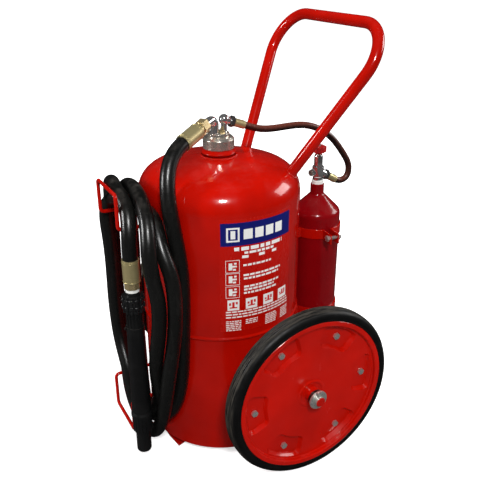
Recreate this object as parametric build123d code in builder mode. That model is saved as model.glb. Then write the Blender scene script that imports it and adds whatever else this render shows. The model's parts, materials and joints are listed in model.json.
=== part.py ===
from build123d import *
import math
import os

# Wheeled, cartridge-operated powder fire extinguisher.
# Millimetres. Origin on the floor under the tank axis, +Z up.
# +X along the axle, -Y is the hose side (front), +Y is the handle and gas bottle side (back).

os.makedirs("parts", exist_ok=True)

# ---------------------------------------------------------------- driving dimensions
TANK_R = 180.0
TANK_WALL = 4.0
TANK_IN = TANK_R - TANK_WALL
TANK_RIM_Z = 15.0
SEAM_Z = 311.0
SEAM_BEAD = 2.5
DOME_Z = 593.5
KNUCKLE_R = 62.0
CROWN_R = 500.0
HEAD_Z = 98.0

NECK_BORE_R = 22.0
NECK_HOLE_R = 27.0
NUT_R = 34.5
NUT_Z = 687.0
NUT_H = 25.0
PLUG_R = 24.0
PLUG_TOP_Z = 721.0
PORT_OFFSET = 13.5

HOSE_R = 16.0
FERRULE_R = 17.6
DISCHARGE_AZIMUTH = 27.0
DISCHARGE_TILT = 17.5
DISCHARGE_CORNER_Z = 756.0

GAS_HOSE_R = 7.8
INLET_TILT = 20.0
INLET_CORNER_Z = 746.5

BOTTLE_Y = 265.0
BOTTLE_R = 58.5
BOTTLE_WALL = 4.0
BOTTLE_BASE_Z = 130.0
BOTTLE_NECK_R = 16.6
BOTTLE_NECK_Z = 562.0
VALVE_Z = 593.0
OUTLET_TILT = 30.0
CLAMP_ZS = (451.0, 235.0)
CLAMP_T = 3.0
CLAMP_H = 24.0
CLAMP_GAP = 17.0
CLAMP_TURN = -6.0

HANDLE_TUBE_R = 12.5
HANDLE_WALL = 2.0
HANDLE_FOOT = (103.0, 122.7, 640.0)
HANDLE_CORNER = (221.0, 290.0, 941.0)
HANDLE_BEND_R = 80.0

AXLE_Y = 72.6
WHEEL_R = 200.0
AXLE_R = 11.0
RUNNING = 0.08
WHEEL_X = 277.0
TYRE_HALF = 20.5
SHOULDER_R = 12.5
RIM_R = 177.5
RIM_BED_R = 168.0
SHEET = 2.0
POCKET_IN_R = 110.0
POCKET_OUT_R = 161.0
POCKET_SLOPE = 0.6
POCKET_CORNER = 14.0
POCKET_HALF_ANGLE = 19.0
DISC_RAISE = 11.0
BOLT_CIRCLE_R = 137.5
SPOKES = 6
WHEEL_PHASE = 3.0

HOOK_ROD_R = 4.0
HOOK_HALF = 58.0
HOOK_Y = -256.5
UPPER_ARM_Z = 564.0
UPPER_BAR_Z = 638.0
LOWER_ARM_Z = 144.0
LOWER_BAR_Z = 62.0

NOZZLE_X = 85.2
NOZZLE_Y = -244.9
NOZZLE_LIFT = 3.6
NOZZLE_STEM_R = 10.0


def polar(radius, degrees, z):
    """Point at a radius from the tank axis; degrees run from -Y towards +X."""
    angle = math.radians(degrees)
    return (radius * math.sin(angle), -radius * math.cos(angle), z)


def along(origin, direction, distance):
    """Point at a distance from origin along a unit direction."""
    return tuple(o + distance * d for o, d in zip(origin, direction))


def dome_top(radius_offset):
    """Height of the crown at the axis, for a skin offset inwards from the outside."""
    lean = math.asin((TANK_R - KNUCKLE_R) / (CROWN_R - KNUCKLE_R))
    centre_z = DOME_Z - (CROWN_R - KNUCKLE_R) * math.cos(lean)
    return lean, centre_z, centre_z + CROWN_R - radius_offset


DOME_LEAN, CROWN_Z, DOME_TOP_Z = dome_top(0.0)
KNUCKLE_X = TANK_R - KNUCKLE_R


def knuckle_end(inset):
    """Where knuckle and crown arcs meet, for a skin offset inwards."""
    reach = KNUCKLE_R - inset
    return (
        KNUCKLE_X + reach * math.sin(DOME_LEAN),
        DOME_Z + reach * math.cos(DOME_LEAN),
    )


def crown_height(radius, inset):
    """Height of the crown at a radius, for a skin offset inwards."""
    return CROWN_Z + math.sqrt((CROWN_R - inset) ** 2 - radius**2)


def knuckle_mid(inset):
    """Half-way point on the knuckle arc."""
    reach = KNUCKLE_R - inset
    half = (math.pi / 2 - DOME_LEAN) / 2
    return (KNUCKLE_X + reach * math.cos(half), DOME_Z + reach * math.sin(half))


TILT = math.radians(DISCHARGE_TILT)
TURN = math.radians(DISCHARGE_AZIMUTH)
DISCHARGE_DIR = (
    math.sin(TURN) * math.cos(TILT),
    -math.cos(TURN) * math.cos(TILT),
    -math.sin(TILT),
)
DISCHARGE_CORNER = polar(PORT_OFFSET, DISCHARGE_AZIMUTH, DISCHARGE_CORNER_Z)
INLET_DIR = (0.0, math.cos(math.radians(INLET_TILT)), -math.sin(math.radians(INLET_TILT)))
INLET_CORNER = (0.0, PORT_OFFSET, INLET_CORNER_Z)
OUTLET_DIR = (0.0, math.cos(math.radians(OUTLET_TILT)), -math.sin(math.radians(OUTLET_TILT)))
OUTLET_ORIGIN = (0.0, BOTTLE_Y, VALVE_Z)


def discharge_plane(distance):
    """Plane across the discharge outlet axis at a distance from its corner."""
    return Plane(origin=along(DISCHARGE_CORNER, DISCHARGE_DIR, distance), z_dir=DISCHARGE_DIR)


def inlet_plane(distance):
    """Plane across the gas inlet axis at a distance from its corner."""
    return Plane(origin=along(INLET_CORNER, INLET_DIR, distance), z_dir=INLET_DIR)


def outlet_plane(distance):
    """Plane across the bottle valve's outlet axis at a distance from the valve axis."""
    return Plane(origin=along(OUTLET_ORIGIN, OUTLET_DIR, distance), z_dir=OUTLET_DIR)


# ---------------------------------------------------------------- pressure tank
with BuildPart() as tank_lower_shell:
    with BuildSketch(Plane.XZ):
        with BuildLine():
            Polyline(
                (TANK_IN, SEAM_Z),
                (TANK_IN, TANK_RIM_Z),
                (TANK_R, TANK_RIM_Z),
                (TANK_R, SEAM_Z - 6),
            )
            Spline(
                (TANK_R, SEAM_Z - 6),
                (TANK_R + SEAM_BEAD, SEAM_Z),
                tangents=((0, 1), (0, 1)),
            )
            Line((TANK_R + SEAM_BEAD, SEAM_Z), (TANK_IN, SEAM_Z))
        make_face()
    revolve(axis=Axis.Z)
tank_lower_shell.part.label = "tank_lower_shell"
export_step(tank_lower_shell.part, "parts/tank_lower_shell.step")

with BuildPart() as tank_upper_shell:
    with BuildSketch(Plane.XZ):
        with BuildLine():
            Line((TANK_IN, SEAM_Z), (TANK_R + SEAM_BEAD, SEAM_Z))
            Spline(
                (TANK_R + SEAM_BEAD, SEAM_Z),
                (TANK_R, SEAM_Z + 6),
                tangents=((0, 1), (0, 1)),
            )
            Line((TANK_R, SEAM_Z + 6), (TANK_R, DOME_Z))
            ThreePointArc((TANK_R, DOME_Z), knuckle_mid(0), knuckle_end(0))
            ThreePointArc(
                knuckle_end(0),
                (80, crown_height(80, 0)),
                (NECK_HOLE_R, crown_height(NECK_HOLE_R, 0)),
            )
            Line(
                (NECK_HOLE_R, crown_height(NECK_HOLE_R, 0)),
                (NECK_HOLE_R, crown_height(NECK_HOLE_R, TANK_WALL)),
            )
            ThreePointArc(
                (NECK_HOLE_R, crown_height(NECK_HOLE_R, TANK_WALL)),
                (80, crown_height(80, TANK_WALL)),
                knuckle_end(TANK_WALL),
            )
            ThreePointArc(knuckle_end(TANK_WALL), knuckle_mid(TANK_WALL), (TANK_IN, DOME_Z))
            Line((TANK_IN, DOME_Z), (TANK_IN, SEAM_Z))
        make_face()
    revolve(axis=Axis.Z)
tank_upper_shell.part.label = "tank_upper_shell"
export_step(tank_upper_shell.part, "parts/tank_upper_shell.step")

HEAD_KNUCKLE = 58.0
HEAD_CROWN = 496.0
HEAD_LEAN = math.asin((TANK_IN - HEAD_KNUCKLE) / (HEAD_CROWN - HEAD_KNUCKLE))
HEAD_CENTRE_Z = HEAD_Z + (HEAD_CROWN - HEAD_KNUCKLE) * math.cos(HEAD_LEAN)


def head_arc(inset):
    """Start, middle and end of the bottom head's knuckle, and the crown's lowest point."""
    reach = HEAD_KNUCKLE - inset
    half = (math.pi / 2 - HEAD_LEAN) / 2
    mid = (TANK_IN - HEAD_KNUCKLE + reach * math.cos(half), HEAD_Z - reach * math.sin(half))
    end = (
        TANK_IN - HEAD_KNUCKLE + reach * math.sin(HEAD_LEAN),
        HEAD_Z - reach * math.cos(HEAD_LEAN),
    )
    low = HEAD_CENTRE_Z - (HEAD_CROWN - inset)
    return mid, end, low


with BuildPart() as tank_bottom_head:
    outer_mid, outer_end, outer_low = head_arc(0.0)
    inner_mid, inner_end, inner_low = head_arc(TANK_WALL)
    with BuildSketch(Plane.XZ):
        with BuildLine():
            Line((TANK_IN, HEAD_Z + 16), (TANK_IN, HEAD_Z))
            ThreePointArc((TANK_IN, HEAD_Z), outer_mid, outer_end)
            RadiusArc(outer_end, (0, outer_low), HEAD_CROWN)
            Line((0, outer_low), (0, inner_low))
            RadiusArc((0, inner_low), inner_end, -(HEAD_CROWN - TANK_WALL))
            ThreePointArc(inner_end, inner_mid, (TANK_IN - TANK_WALL, HEAD_Z))
            Line((TANK_IN - TANK_WALL, HEAD_Z), (TANK_IN - TANK_WALL, HEAD_Z + 16))
            Line((TANK_IN - TANK_WALL, HEAD_Z + 16), (TANK_IN, HEAD_Z + 16))
        make_face()
    revolve(axis=Axis.Z)
tank_bottom_head.part.label = "tank_bottom_head"
export_step(tank_bottom_head.part, "parts/tank_bottom_head.step")

NECK_TOP_Z = NUT_Z + 15.0
GASKET_T = 2.0
SHOULDER_T = 4.0
LIP_Z = NECK_TOP_Z + GASKET_T + SHOULDER_T

with BuildPart() as neck_ring:
    with BuildSketch(Plane.XZ):
        with BuildLine():
            Polyline(
                (NECK_BORE_R, 656),
                (NECK_HOLE_R, 656),
                (NECK_HOLE_R, 670.95),
                (30, 671),
                (31.5, 672.5),
                (38, 677),
                (38, 679.5),
                (32.5, NUT_Z - 1),
                (30, NUT_Z - 0.5),
                (30, NECK_TOP_Z),
                (NECK_BORE_R, NECK_TOP_Z),
                close=True,
            )
        make_face()
    revolve(axis=Axis.Z)
neck_ring.part.label = "neck_ring"
export_step(neck_ring.part, "parts/neck_ring.step")

with BuildPart() as cap_gasket:
    with BuildSketch(Plane.XY.offset(NECK_TOP_Z)):
        Circle(29.5)
        Circle(NECK_BORE_R, mode=Mode.SUBTRACT)
    extrude(amount=GASKET_T)
cap_gasket.part.label = "cap_gasket"
export_step(cap_gasket.part, "parts/cap_gasket.step")

# ---------------------------------------------------------------- cap and its fittings
SIPHON_R = 7.5
GAS_TUBE_R = 5.5
siphon_xy = polar(PORT_OFFSET, DISCHARGE_AZIMUTH, 0)[:2]
inlet_xy = (0.0, PORT_OFFSET)
RELIEF_XY = (13.0, 2.5)

with BuildPart() as cap_plug:
    with BuildSketch(Plane.XZ):
        Polygon(
            (0, 680),
            (NECK_BORE_R - 0.5, 680),
            (NECK_BORE_R - 0.5, NECK_TOP_Z + GASKET_T),
            (29.5, NECK_TOP_Z + GASKET_T),
            (29.5, LIP_Z),
            (PLUG_R, LIP_Z),
            (PLUG_R, PLUG_TOP_Z - 2),
            (PLUG_R - 2, PLUG_TOP_Z),
            (0, PLUG_TOP_Z),
            align=None,
        )
    revolve(axis=Axis.Z)
    with BuildSketch(Plane.XY.offset(680)):
        with Locations(siphon_xy):
            Circle(SIPHON_R)
        with Locations(inlet_xy):
            Circle(GAS_TUBE_R)
    extrude(amount=60, mode=Mode.SUBTRACT)
cap_plug.part.label = "cap_plug"
export_step(cap_plug.part, "parts/cap_plug.step")

with BuildPart() as cap_nut:
    with BuildSketch(Plane.XZ):
        Polygon(
            (30.0, NUT_Z),
            (NUT_R, NUT_Z),
            (NUT_R, NUT_Z + NUT_H - 5),
            (NUT_R - 4, NUT_Z + NUT_H),
            (PLUG_R + 0.3, NUT_Z + NUT_H),
            (PLUG_R + 0.3, LIP_Z),
            (30.0, LIP_Z),
            align=None,
        )
    revolve(axis=Axis.Z)
    with BuildSketch(Plane.XY.offset(NUT_Z)):
        with PolarLocations(NUT_R, 6, start_angle=-63):
            Rectangle(3.0, 7.0)
    extrude(amount=17, mode=Mode.SUBTRACT)
cap_nut.part.label = "cap_nut"
export_step(cap_nut.part, "parts/cap_nut.step")

with BuildPart() as siphon_tube:
    with BuildSketch(Plane.XY.offset(36)):
        with Locations(siphon_xy):
            Circle(SIPHON_R)
            Circle(SIPHON_R - 1.5, mode=Mode.SUBTRACT)
    extrude(amount=PLUG_TOP_Z - 36)
siphon_tube.part.label = "siphon_tube"
export_step(siphon_tube.part, "parts/siphon_tube.step")

with BuildPart() as gas_inlet_tube:
    with BuildSketch(Plane.XY.offset(90)):
        with Locations(inlet_xy):
            Circle(GAS_TUBE_R)
            Circle(GAS_TUBE_R - 1.25, mode=Mode.SUBTRACT)
    extrude(amount=PLUG_TOP_Z - 90)
gas_inlet_tube.part.label = "gas_inlet_tube"
export_step(gas_inlet_tube.part, "parts/gas_inlet_tube.step")

with BuildPart() as relief_valve:
    with BuildSketch(Plane.XY.offset(PLUG_TOP_Z)):
        with Locations(RELIEF_XY):
            RegularPolygon(5.8, 6)
    extrude(amount=6)
    with BuildSketch(Plane.XY.offset(PLUG_TOP_Z + 6)):
        with Locations(RELIEF_XY):
            Circle(4.2)
    extrude(amount=5)
    with BuildSketch(Plane.XY.offset(PLUG_TOP_Z + 11)):
        with Locations(RELIEF_XY):
            Circle(3.0)
    extrude(amount=2.5)
relief_valve.part.label = "relief_valve"
export_step(relief_valve.part, "parts/relief_valve.step")

ELBOW_R = 9.0
ELBOW_LEN = 46.0
with BuildPart() as discharge_elbow:
    with BuildLine() as elbow_path:
        FilletPolyline(
            (*siphon_xy, PLUG_TOP_Z),
            DISCHARGE_CORNER,
            along(DISCHARGE_CORNER, DISCHARGE_DIR, ELBOW_LEN),
            radius=14,
        )
    with BuildSketch(Plane(origin=(*siphon_xy, PLUG_TOP_Z))):
        Circle(ELBOW_R)
        Circle(ELBOW_R - 3, mode=Mode.SUBTRACT)
    sweep(path=elbow_path.line)
discharge_elbow.part.label = "discharge_elbow"
export_step(discharge_elbow.part, "parts/discharge_elbow.step")

NUT_START = 34.0
FERRULE_START = 61.0
FERRULE_END = 112.0
with BuildPart() as discharge_nut:
    with BuildSketch(discharge_plane(NUT_START)):
        RegularPolygon(16.5, 6)
        Circle(ELBOW_R, mode=Mode.SUBTRACT)
    extrude(amount=18)
    with BuildSketch(discharge_plane(NUT_START + 18)):
        Circle(13.0)
        Circle(ELBOW_R, mode=Mode.SUBTRACT)
    extrude(amount=FERRULE_START - NUT_START - 18)
discharge_nut.part.label = "discharge_nut"
export_step(discharge_nut.part, "parts/discharge_nut.step")

with BuildPart() as discharge_ferrule:
    with BuildSketch(discharge_plane(FERRULE_START)):
        Circle(FERRULE_R)
    extrude(amount=FERRULE_END - FERRULE_START)
    with BuildSketch(discharge_plane(FERRULE_START + 4)):
        Circle(HOSE_R)
    extrude(amount=FERRULE_END - FERRULE_START - 4, mode=Mode.SUBTRACT)
    with BuildSketch(discharge_plane(FERRULE_START)):
        Circle(ELBOW_R)
    extrude(amount=4, mode=Mode.SUBTRACT)
discharge_ferrule.part.label = "discharge_ferrule"
export_step(discharge_ferrule.part, "parts/discharge_ferrule.step")

with BuildPart() as inlet_elbow:
    with BuildSketch(Plane.XY.offset(PLUG_TOP_Z)):
        with Locations(inlet_xy):
            Circle(6.5)
    extrude(amount=INLET_CORNER_Z - PLUG_TOP_Z)
    with BuildSketch(inlet_plane(2)):
        Circle(8.5)
    extrude(amount=22)
    with BuildSketch(Plane.YZ):
        with BuildLine():
            CenterArc(INLET_CORNER[1:], 11.5, -90, 180)
            Line(
                (INLET_CORNER[1], INLET_CORNER[2] + 11.5),
                (INLET_CORNER[1], INLET_CORNER[2] - 11.5),
            )
        make_face()
    revolve(axis=Axis((0, *INLET_CORNER[1:]), (0, 0, 1)))
    with BuildSketch(Plane.XY.offset(PLUG_TOP_Z)):
        with Locations(inlet_xy):
            Circle(3.5)
    extrude(amount=INLET_CORNER_Z - PLUG_TOP_Z, mode=Mode.SUBTRACT)
    with BuildSketch(inlet_plane(0)):
        Circle(3.5)
    extrude(amount=24, mode=Mode.SUBTRACT)
inlet_elbow.part.label = "inlet_elbow"
export_step(inlet_elbow.part, "parts/inlet_elbow.step")

# ---------------------------------------------------------------- gas bottle and valve
SHOULDER_Z = 487.0
with BuildPart() as co2_bottle:
    with BuildSketch(Plane(origin=(0, BOTTLE_Y, 0), x_dir=(1, 0, 0), z_dir=(0, -1, 0))):
        with BuildLine() as bottle_outline:
            Polyline(
                (8.0, BOTTLE_BASE_Z + 8),
                (8.0, BOTTLE_BASE_Z + 7.9),
                (30.0, BOTTLE_BASE_Z),
                (BOTTLE_R - 16, BOTTLE_BASE_Z),
            )
            Spline(
                (BOTTLE_R - 16, BOTTLE_BASE_Z),
                (BOTTLE_R, BOTTLE_BASE_Z + 18),
                tangents=((1, 0), (0, 1)),
            )
            Line((BOTTLE_R, BOTTLE_BASE_Z + 18), (BOTTLE_R, SHOULDER_Z))
            Spline(
                (BOTTLE_R, SHOULDER_Z),
                (47.0, 507.0),
                tangents=((0, 1), (-1, 1)),
            )
            Line((47.0, 507.0), (22.0, 532.0))
            Spline((22.0, 532.0), (BOTTLE_NECK_R, 540.0), tangents=((-1, 1), (0, 1)))
            Polyline(
                (BOTTLE_NECK_R, 540.0),
                (BOTTLE_NECK_R, BOTTLE_NECK_Z - 1.5),
                (BOTTLE_NECK_R - 1.5, BOTTLE_NECK_Z),
                (9.0, BOTTLE_NECK_Z),
                (9.0, 536.0),
                (BOTTLE_R - 18, 503.0),
                (BOTTLE_R - BOTTLE_WALL, SHOULDER_Z - 6),
                (BOTTLE_R - BOTTLE_WALL, BOTTLE_BASE_Z + 24),
                (BOTTLE_R - 22, BOTTLE_BASE_Z + 12),
                (8.0, BOTTLE_BASE_Z + 14),
                (8.0, BOTTLE_BASE_Z + 8),
            )
        make_face()
    revolve(axis=Axis((0, BOTTLE_Y, 0), (0, 0, 1)))
    with BuildSketch(Plane.XY.offset(BOTTLE_BASE_Z + 7.9)):
        with Locations((0, BOTTLE_Y)):
            Circle(8.0)
    extrude(amount=6.0)
co2_bottle.part.label = "co2_bottle"
export_step(co2_bottle.part, "parts/co2_bottle.step")

with BuildPart() as bottle_seal_ring:
    with BuildSketch(Plane.XY.offset(BOTTLE_NECK_Z)):
        with Locations((0, BOTTLE_Y)):
            Circle(14.5)
            Circle(9.0, mode=Mode.SUBTRACT)
    extrude(amount=8)
bottle_seal_ring.part.label = "bottle_seal_ring"
export_step(bottle_seal_ring.part, "parts/bottle_seal_ring.step")

SPINDLE_R = 4.0
STEM_TOP_Z = 633.0
BURST_DIR = (0.0, -1.0, 0.0)
with BuildPart() as co2_valve_body:
    with BuildSketch(Plane(origin=(0, BOTTLE_Y, 0), x_dir=(1, 0, 0), z_dir=(0, -1, 0))):
        Polygon(
            (0, 538),
            (9.0, 538),
            (9.0, 570),
            (12.0, 570),
            (12.0, 578),
            (14.0, 581),
            (14.0, 604),
            (10.5, 607),
            (10.5, STEM_TOP_Z - 4),
            (9.0, STEM_TOP_Z),
            (0, STEM_TOP_Z),
            align=None,
        )
    revolve(axis=Axis((0, BOTTLE_Y, 0), (0, 0, 1)))
    with BuildSketch(outlet_plane(0)):
        Circle(9.5)
    extrude(amount=22)
    with BuildSketch(outlet_plane(22)):
        Circle(8.5)
    extrude(amount=9)
    with BuildSketch(Plane(origin=(0, BOTTLE_Y, VALVE_Z - 3), z_dir=BURST_DIR)):
        Circle(8.5)
    extrude(amount=19)
    with BuildSketch(Plane.XY.offset(608)):
        with Locations((0, BOTTLE_Y)):
            Circle(SPINDLE_R + RUNNING)
    extrude(amount=30, mode=Mode.SUBTRACT)
co2_valve_body.part.label = "co2_valve_body"
export_step(co2_valve_body.part, "parts/co2_valve_body.step")

with BuildPart() as burst_disc_plug:
    with BuildSketch(Plane(origin=(0, BOTTLE_Y - 19, VALVE_Z - 3), z_dir=BURST_DIR)):
        RegularPolygon(8.0, 6)
        Circle(2.0, mode=Mode.SUBTRACT)
    extrude(amount=4)
burst_disc_plug.part.label = "burst_disc_plug"
export_step(burst_disc_plug.part, "parts/burst_disc_plug.step")

INLET_NUT_START = 15.0
OUTLET_NUT_START = 22.0
UNION_NUT_H = 9.0
GAS_FERRULE_H = 28.0
INLET_FERRULE_START = INLET_NUT_START + UNION_NUT_H
OUTLET_FERRULE_START = OUTLET_NUT_START + UNION_NUT_H
INLET_FERRULE_END = INLET_FERRULE_START + GAS_FERRULE_H
OUTLET_FERRULE_END = OUTLET_FERRULE_START + GAS_FERRULE_H
with BuildPart() as gas_hose_nuts:
    with BuildSketch(inlet_plane(INLET_NUT_START), outlet_plane(OUTLET_NUT_START)):
        RegularPolygon(12.7, 6)
    extrude(amount=UNION_NUT_H)
    with BuildSketch(inlet_plane(INLET_NUT_START), outlet_plane(OUTLET_NUT_START)):
        Circle(8.5)
    extrude(amount=UNION_NUT_H, mode=Mode.SUBTRACT)
gas_hose_nuts.part.label = "gas_hose_nuts"
export_step(gas_hose_nuts.part, "parts/gas_hose_nuts.step")

with BuildPart() as gas_hose_ferrules:
    with BuildSketch(inlet_plane(INLET_FERRULE_START), outlet_plane(OUTLET_FERRULE_START)):
        Circle(9.2)
    extrude(amount=GAS_FERRULE_H)
    with BuildSketch(
        inlet_plane(INLET_FERRULE_START + 3), outlet_plane(OUTLET_FERRULE_START + 3)
    ):
        Circle(GAS_HOSE_R)
    extrude(amount=GAS_FERRULE_H - 3, mode=Mode.SUBTRACT)
gas_hose_ferrules.part.label = "gas_hose_ferrules"
export_step(gas_hose_ferrules.part, "parts/gas_hose_ferrules.step")

hose_start = along(INLET_CORNER, INLET_DIR, INLET_FERRULE_START + 3)
hose_exit = along(INLET_CORNER, INLET_DIR, INLET_FERRULE_END)
hose_return = along(OUTLET_ORIGIN, OUTLET_DIR, OUTLET_FERRULE_END)
hose_finish = along(OUTLET_ORIGIN, OUTLET_DIR, OUTLET_FERRULE_START + 3)
with BuildPart() as gas_hose:
    with BuildLine() as gas_path:
        gas_in = Line(hose_start, hose_exit)
        gas_run = Spline(
            hose_exit,
            (0, 100, 716),
            (0, 165, 712),
            (0, 222, 709),
            (0, 270, 691),
            (0, 307, 662),
            (0, 338, 624),
            (0, 356, 588),
            (0, 350, 564),
            (0, 332, 558),
            hose_return,
            tangents=(INLET_DIR, tuple(-d for d in OUTLET_DIR)),
            tangent_scalars=(1, 1),
        )
        Line(hose_return, hose_finish)
    with BuildSketch(Plane(origin=hose_start, z_dir=INLET_DIR)):
        Circle(GAS_HOSE_R)
    sweep(path=gas_path.line)
gas_hose.part.label = "gas_hose"
export_step(gas_hose.part, "parts/gas_hose.step")

# handwheel, spindle and their nut turn together
with BuildPart() as valve_spindle:
    with BuildSketch(Plane.XY.offset(611)):
        with Locations((0, BOTTLE_Y)):
            Circle(SPINDLE_R)
    extrude(amount=44)
    with BuildSketch(Plane.XY.offset(655)):
        with Locations((0, BOTTLE_Y)):
            RegularPolygon(4.6, 4)
    extrude(amount=3)
valve_spindle.part.label = "valve_spindle"
export_step(valve_spindle.part, "parts/valve_spindle.step")

HANDWHEEL_R = 18.0
with BuildPart() as valve_handwheel:
    with BuildSketch(Plane.XY.offset(640)):
        with Locations((0, BOTTLE_Y)):
            Circle(HANDWHEEL_R - 2.5)
            with PolarLocations(HANDWHEEL_R - 4.5, 6):
                Circle(4.5)
            Circle(SPINDLE_R, mode=Mode.SUBTRACT)
    extrude(amount=14)
    fillet(valve_handwheel.faces().sort_by(Axis.Z)[-1].outer_wire().edges(), 1.5)
    with BuildSketch(Plane.XY.offset(635)):
        with Locations((0, BOTTLE_Y)):
            Circle(8.0)
            Circle(SPINDLE_R, mode=Mode.SUBTRACT)
    extrude(amount=5)
valve_handwheel.part.label = "valve_handwheel"
export_step(valve_handwheel.part, "parts/valve_handwheel.step")

# ---------------------------------------------------------------- bottle clamps
CLAMP_OUT_R = BOTTLE_R + CLAMP_T
EAR_REACH = 98.0
EAR_BOLT_X = 86.0
M8_R = 4.0
turn = math.radians(CLAMP_TURN)
EAR_X = (math.cos(turn), math.sin(turn), 0.0)
EAR_Y = (-math.sin(turn), math.cos(turn), 0.0)


def clamp_plane(z):
    """Horizontal plane at a clamp, its local X running out along the ears."""
    return Plane(origin=(0, BOTTLE_Y, z), x_dir=EAR_X, z_dir=(0, 0, 1))


def ear_plane(z, side):
    """Plane across the clamp bolt at the outer face of one ear."""
    centre = along((0, BOTTLE_Y, z), EAR_X, EAR_BOLT_X)
    outward = tuple(side * c for c in EAR_Y)
    return Plane(origin=along(centre, outward, CLAMP_GAP / 2 + CLAMP_T), z_dir=outward)


with BuildPart() as bottle_clamps:
    for clamp_z in CLAMP_ZS:
        with BuildSketch(clamp_plane(clamp_z - CLAMP_H / 2)):
            Circle(CLAMP_OUT_R)
            Circle(BOTTLE_R, mode=Mode.SUBTRACT)
            with Locations((BOTTLE_R, 0)):
                Rectangle(30, CLAMP_GAP, mode=Mode.SUBTRACT)
            for side in (-1, 1):
                with Locations(((EAR_REACH + 60.0) / 2, side * (CLAMP_GAP + CLAMP_T) / 2)):
                    Rectangle(EAR_REACH - 60.0, CLAMP_T)
        extrude(amount=CLAMP_H)
        with BuildSketch(ear_plane(clamp_z, 1)):
            Circle(M8_R + 0.3)
        extrude(amount=-(CLAMP_GAP + 2 * CLAMP_T), mode=Mode.SUBTRACT)
bottle_clamps.part.label = "bottle_clamps"
export_step(bottle_clamps.part, "parts/bottle_clamps.step")

with BuildPart() as clamp_bolts:
    for clamp_z in CLAMP_ZS:
        with BuildSketch(ear_plane(clamp_z, -1)):
            RegularPolygon(7.5, 6)
        extrude(amount=5.3)
        with BuildSketch(ear_plane(clamp_z, -1)):
            Circle(M8_R)
        extrude(amount=-(CLAMP_GAP + 2 * CLAMP_T + 11))
clamp_bolts.part.label = "clamp_bolts"
export_step(clamp_bolts.part, "parts/clamp_bolts.step")

with BuildPart() as clamp_nuts:
    for clamp_z in CLAMP_ZS:
        with BuildSketch(ear_plane(clamp_z, 1)):
            RegularPolygon(7.5, 6)
            Circle(M8_R, mode=Mode.SUBTRACT)
        extrude(amount=6.5)
clamp_nuts.part.label = "clamp_nuts"
export_step(clamp_nuts.part, "parts/clamp_nuts.step")

with BuildPart() as bottle_saddles:
    for clamp_z in CLAMP_ZS:
        with BuildSketch(Plane.XY.offset(clamp_z - CLAMP_H / 2)):
            with Locations((0, (TANK_R + BOTTLE_Y - CLAMP_OUT_R) / 2)):
                Rectangle(44, 50)
                Rectangle(32, 50, mode=Mode.SUBTRACT)
            with Locations((0, BOTTLE_Y - CLAMP_OUT_R - 2)):
                Rectangle(44, 8)
            with Locations((0, BOTTLE_Y)):
                Circle(CLAMP_OUT_R, mode=Mode.SUBTRACT)
            Circle(TANK_R, mode=Mode.SUBTRACT)
        extrude(amount=CLAMP_H)
bottle_saddles.part.label = "bottle_saddles"
export_step(bottle_saddles.part, "parts/bottle_saddles.step")

# ---------------------------------------------------------------- push handle
leg = Vector(*HANDLE_CORNER) - Vector(*HANDLE_FOOT)
leg_dir = leg.normalized()
root = Vector(*HANDLE_FOOT) - leg_dir * 25
with BuildPart() as handle:
    with BuildLine() as handle_path:
        FilletPolyline(
            (root.X, root.Y, root.Z),
            HANDLE_CORNER,
            (-HANDLE_CORNER[0], HANDLE_CORNER[1], HANDLE_CORNER[2]),
            (-root.X, root.Y, root.Z),
            radius=HANDLE_BEND_R,
        )
    with BuildSketch(Plane(origin=root, z_dir=leg_dir)):
        Circle(HANDLE_TUBE_R)
        Circle(HANDLE_TUBE_R - HANDLE_WALL, mode=Mode.SUBTRACT)
    sweep(path=handle_path.line)
    with BuildSketch(Plane.XZ):
        with BuildLine():
            Line((0, SEAM_Z), (TANK_R, SEAM_Z))
            Line((TANK_R, SEAM_Z), (TANK_R, DOME_Z))
            ThreePointArc((TANK_R, DOME_Z), knuckle_mid(0), knuckle_end(0))
            ThreePointArc(
                knuckle_end(0), (80, crown_height(80, 0)), (0, DOME_TOP_Z)
            )
            Line((0, DOME_TOP_Z), (0, SEAM_Z))
        make_face()
    revolve(axis=Axis.Z, mode=Mode.SUBTRACT)
handle.part.label = "handle"
export_step(handle.part, "parts/handle.step")

# ---------------------------------------------------------------- hose hooks and front foot
hook_root_y = -TANK_R * 0.9
for hook_name, arm_z, bar_z in (
    ("upper_hose_hook", UPPER_ARM_Z, UPPER_BAR_Z),
    ("lower_hose_hook", LOWER_ARM_Z, LOWER_BAR_Z),
):
    with BuildPart() as hose_hook:
        with BuildLine() as hook_path:
            FilletPolyline(
                (-HOOK_HALF, hook_root_y, arm_z),
                (-HOOK_HALF, HOOK_Y, arm_z),
                (-HOOK_HALF, HOOK_Y, bar_z),
                (HOOK_HALF, HOOK_Y, bar_z),
                (HOOK_HALF, HOOK_Y, arm_z),
                (HOOK_HALF, hook_root_y, arm_z),
                radius=9,
            )
        with BuildSketch(Plane(origin=(-HOOK_HALF, hook_root_y, arm_z), z_dir=(0, -1, 0))):
            Circle(HOOK_ROD_R)
        sweep(path=hook_path.line)
        with BuildSketch(Plane.XY.offset(arm_z - 20)):
            Circle(TANK_R)
        extrude(amount=40, mode=Mode.SUBTRACT)
    hose_hook.part.label = hook_name
    export_step(hose_hook.part, f"parts/{hook_name}.step")

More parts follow.
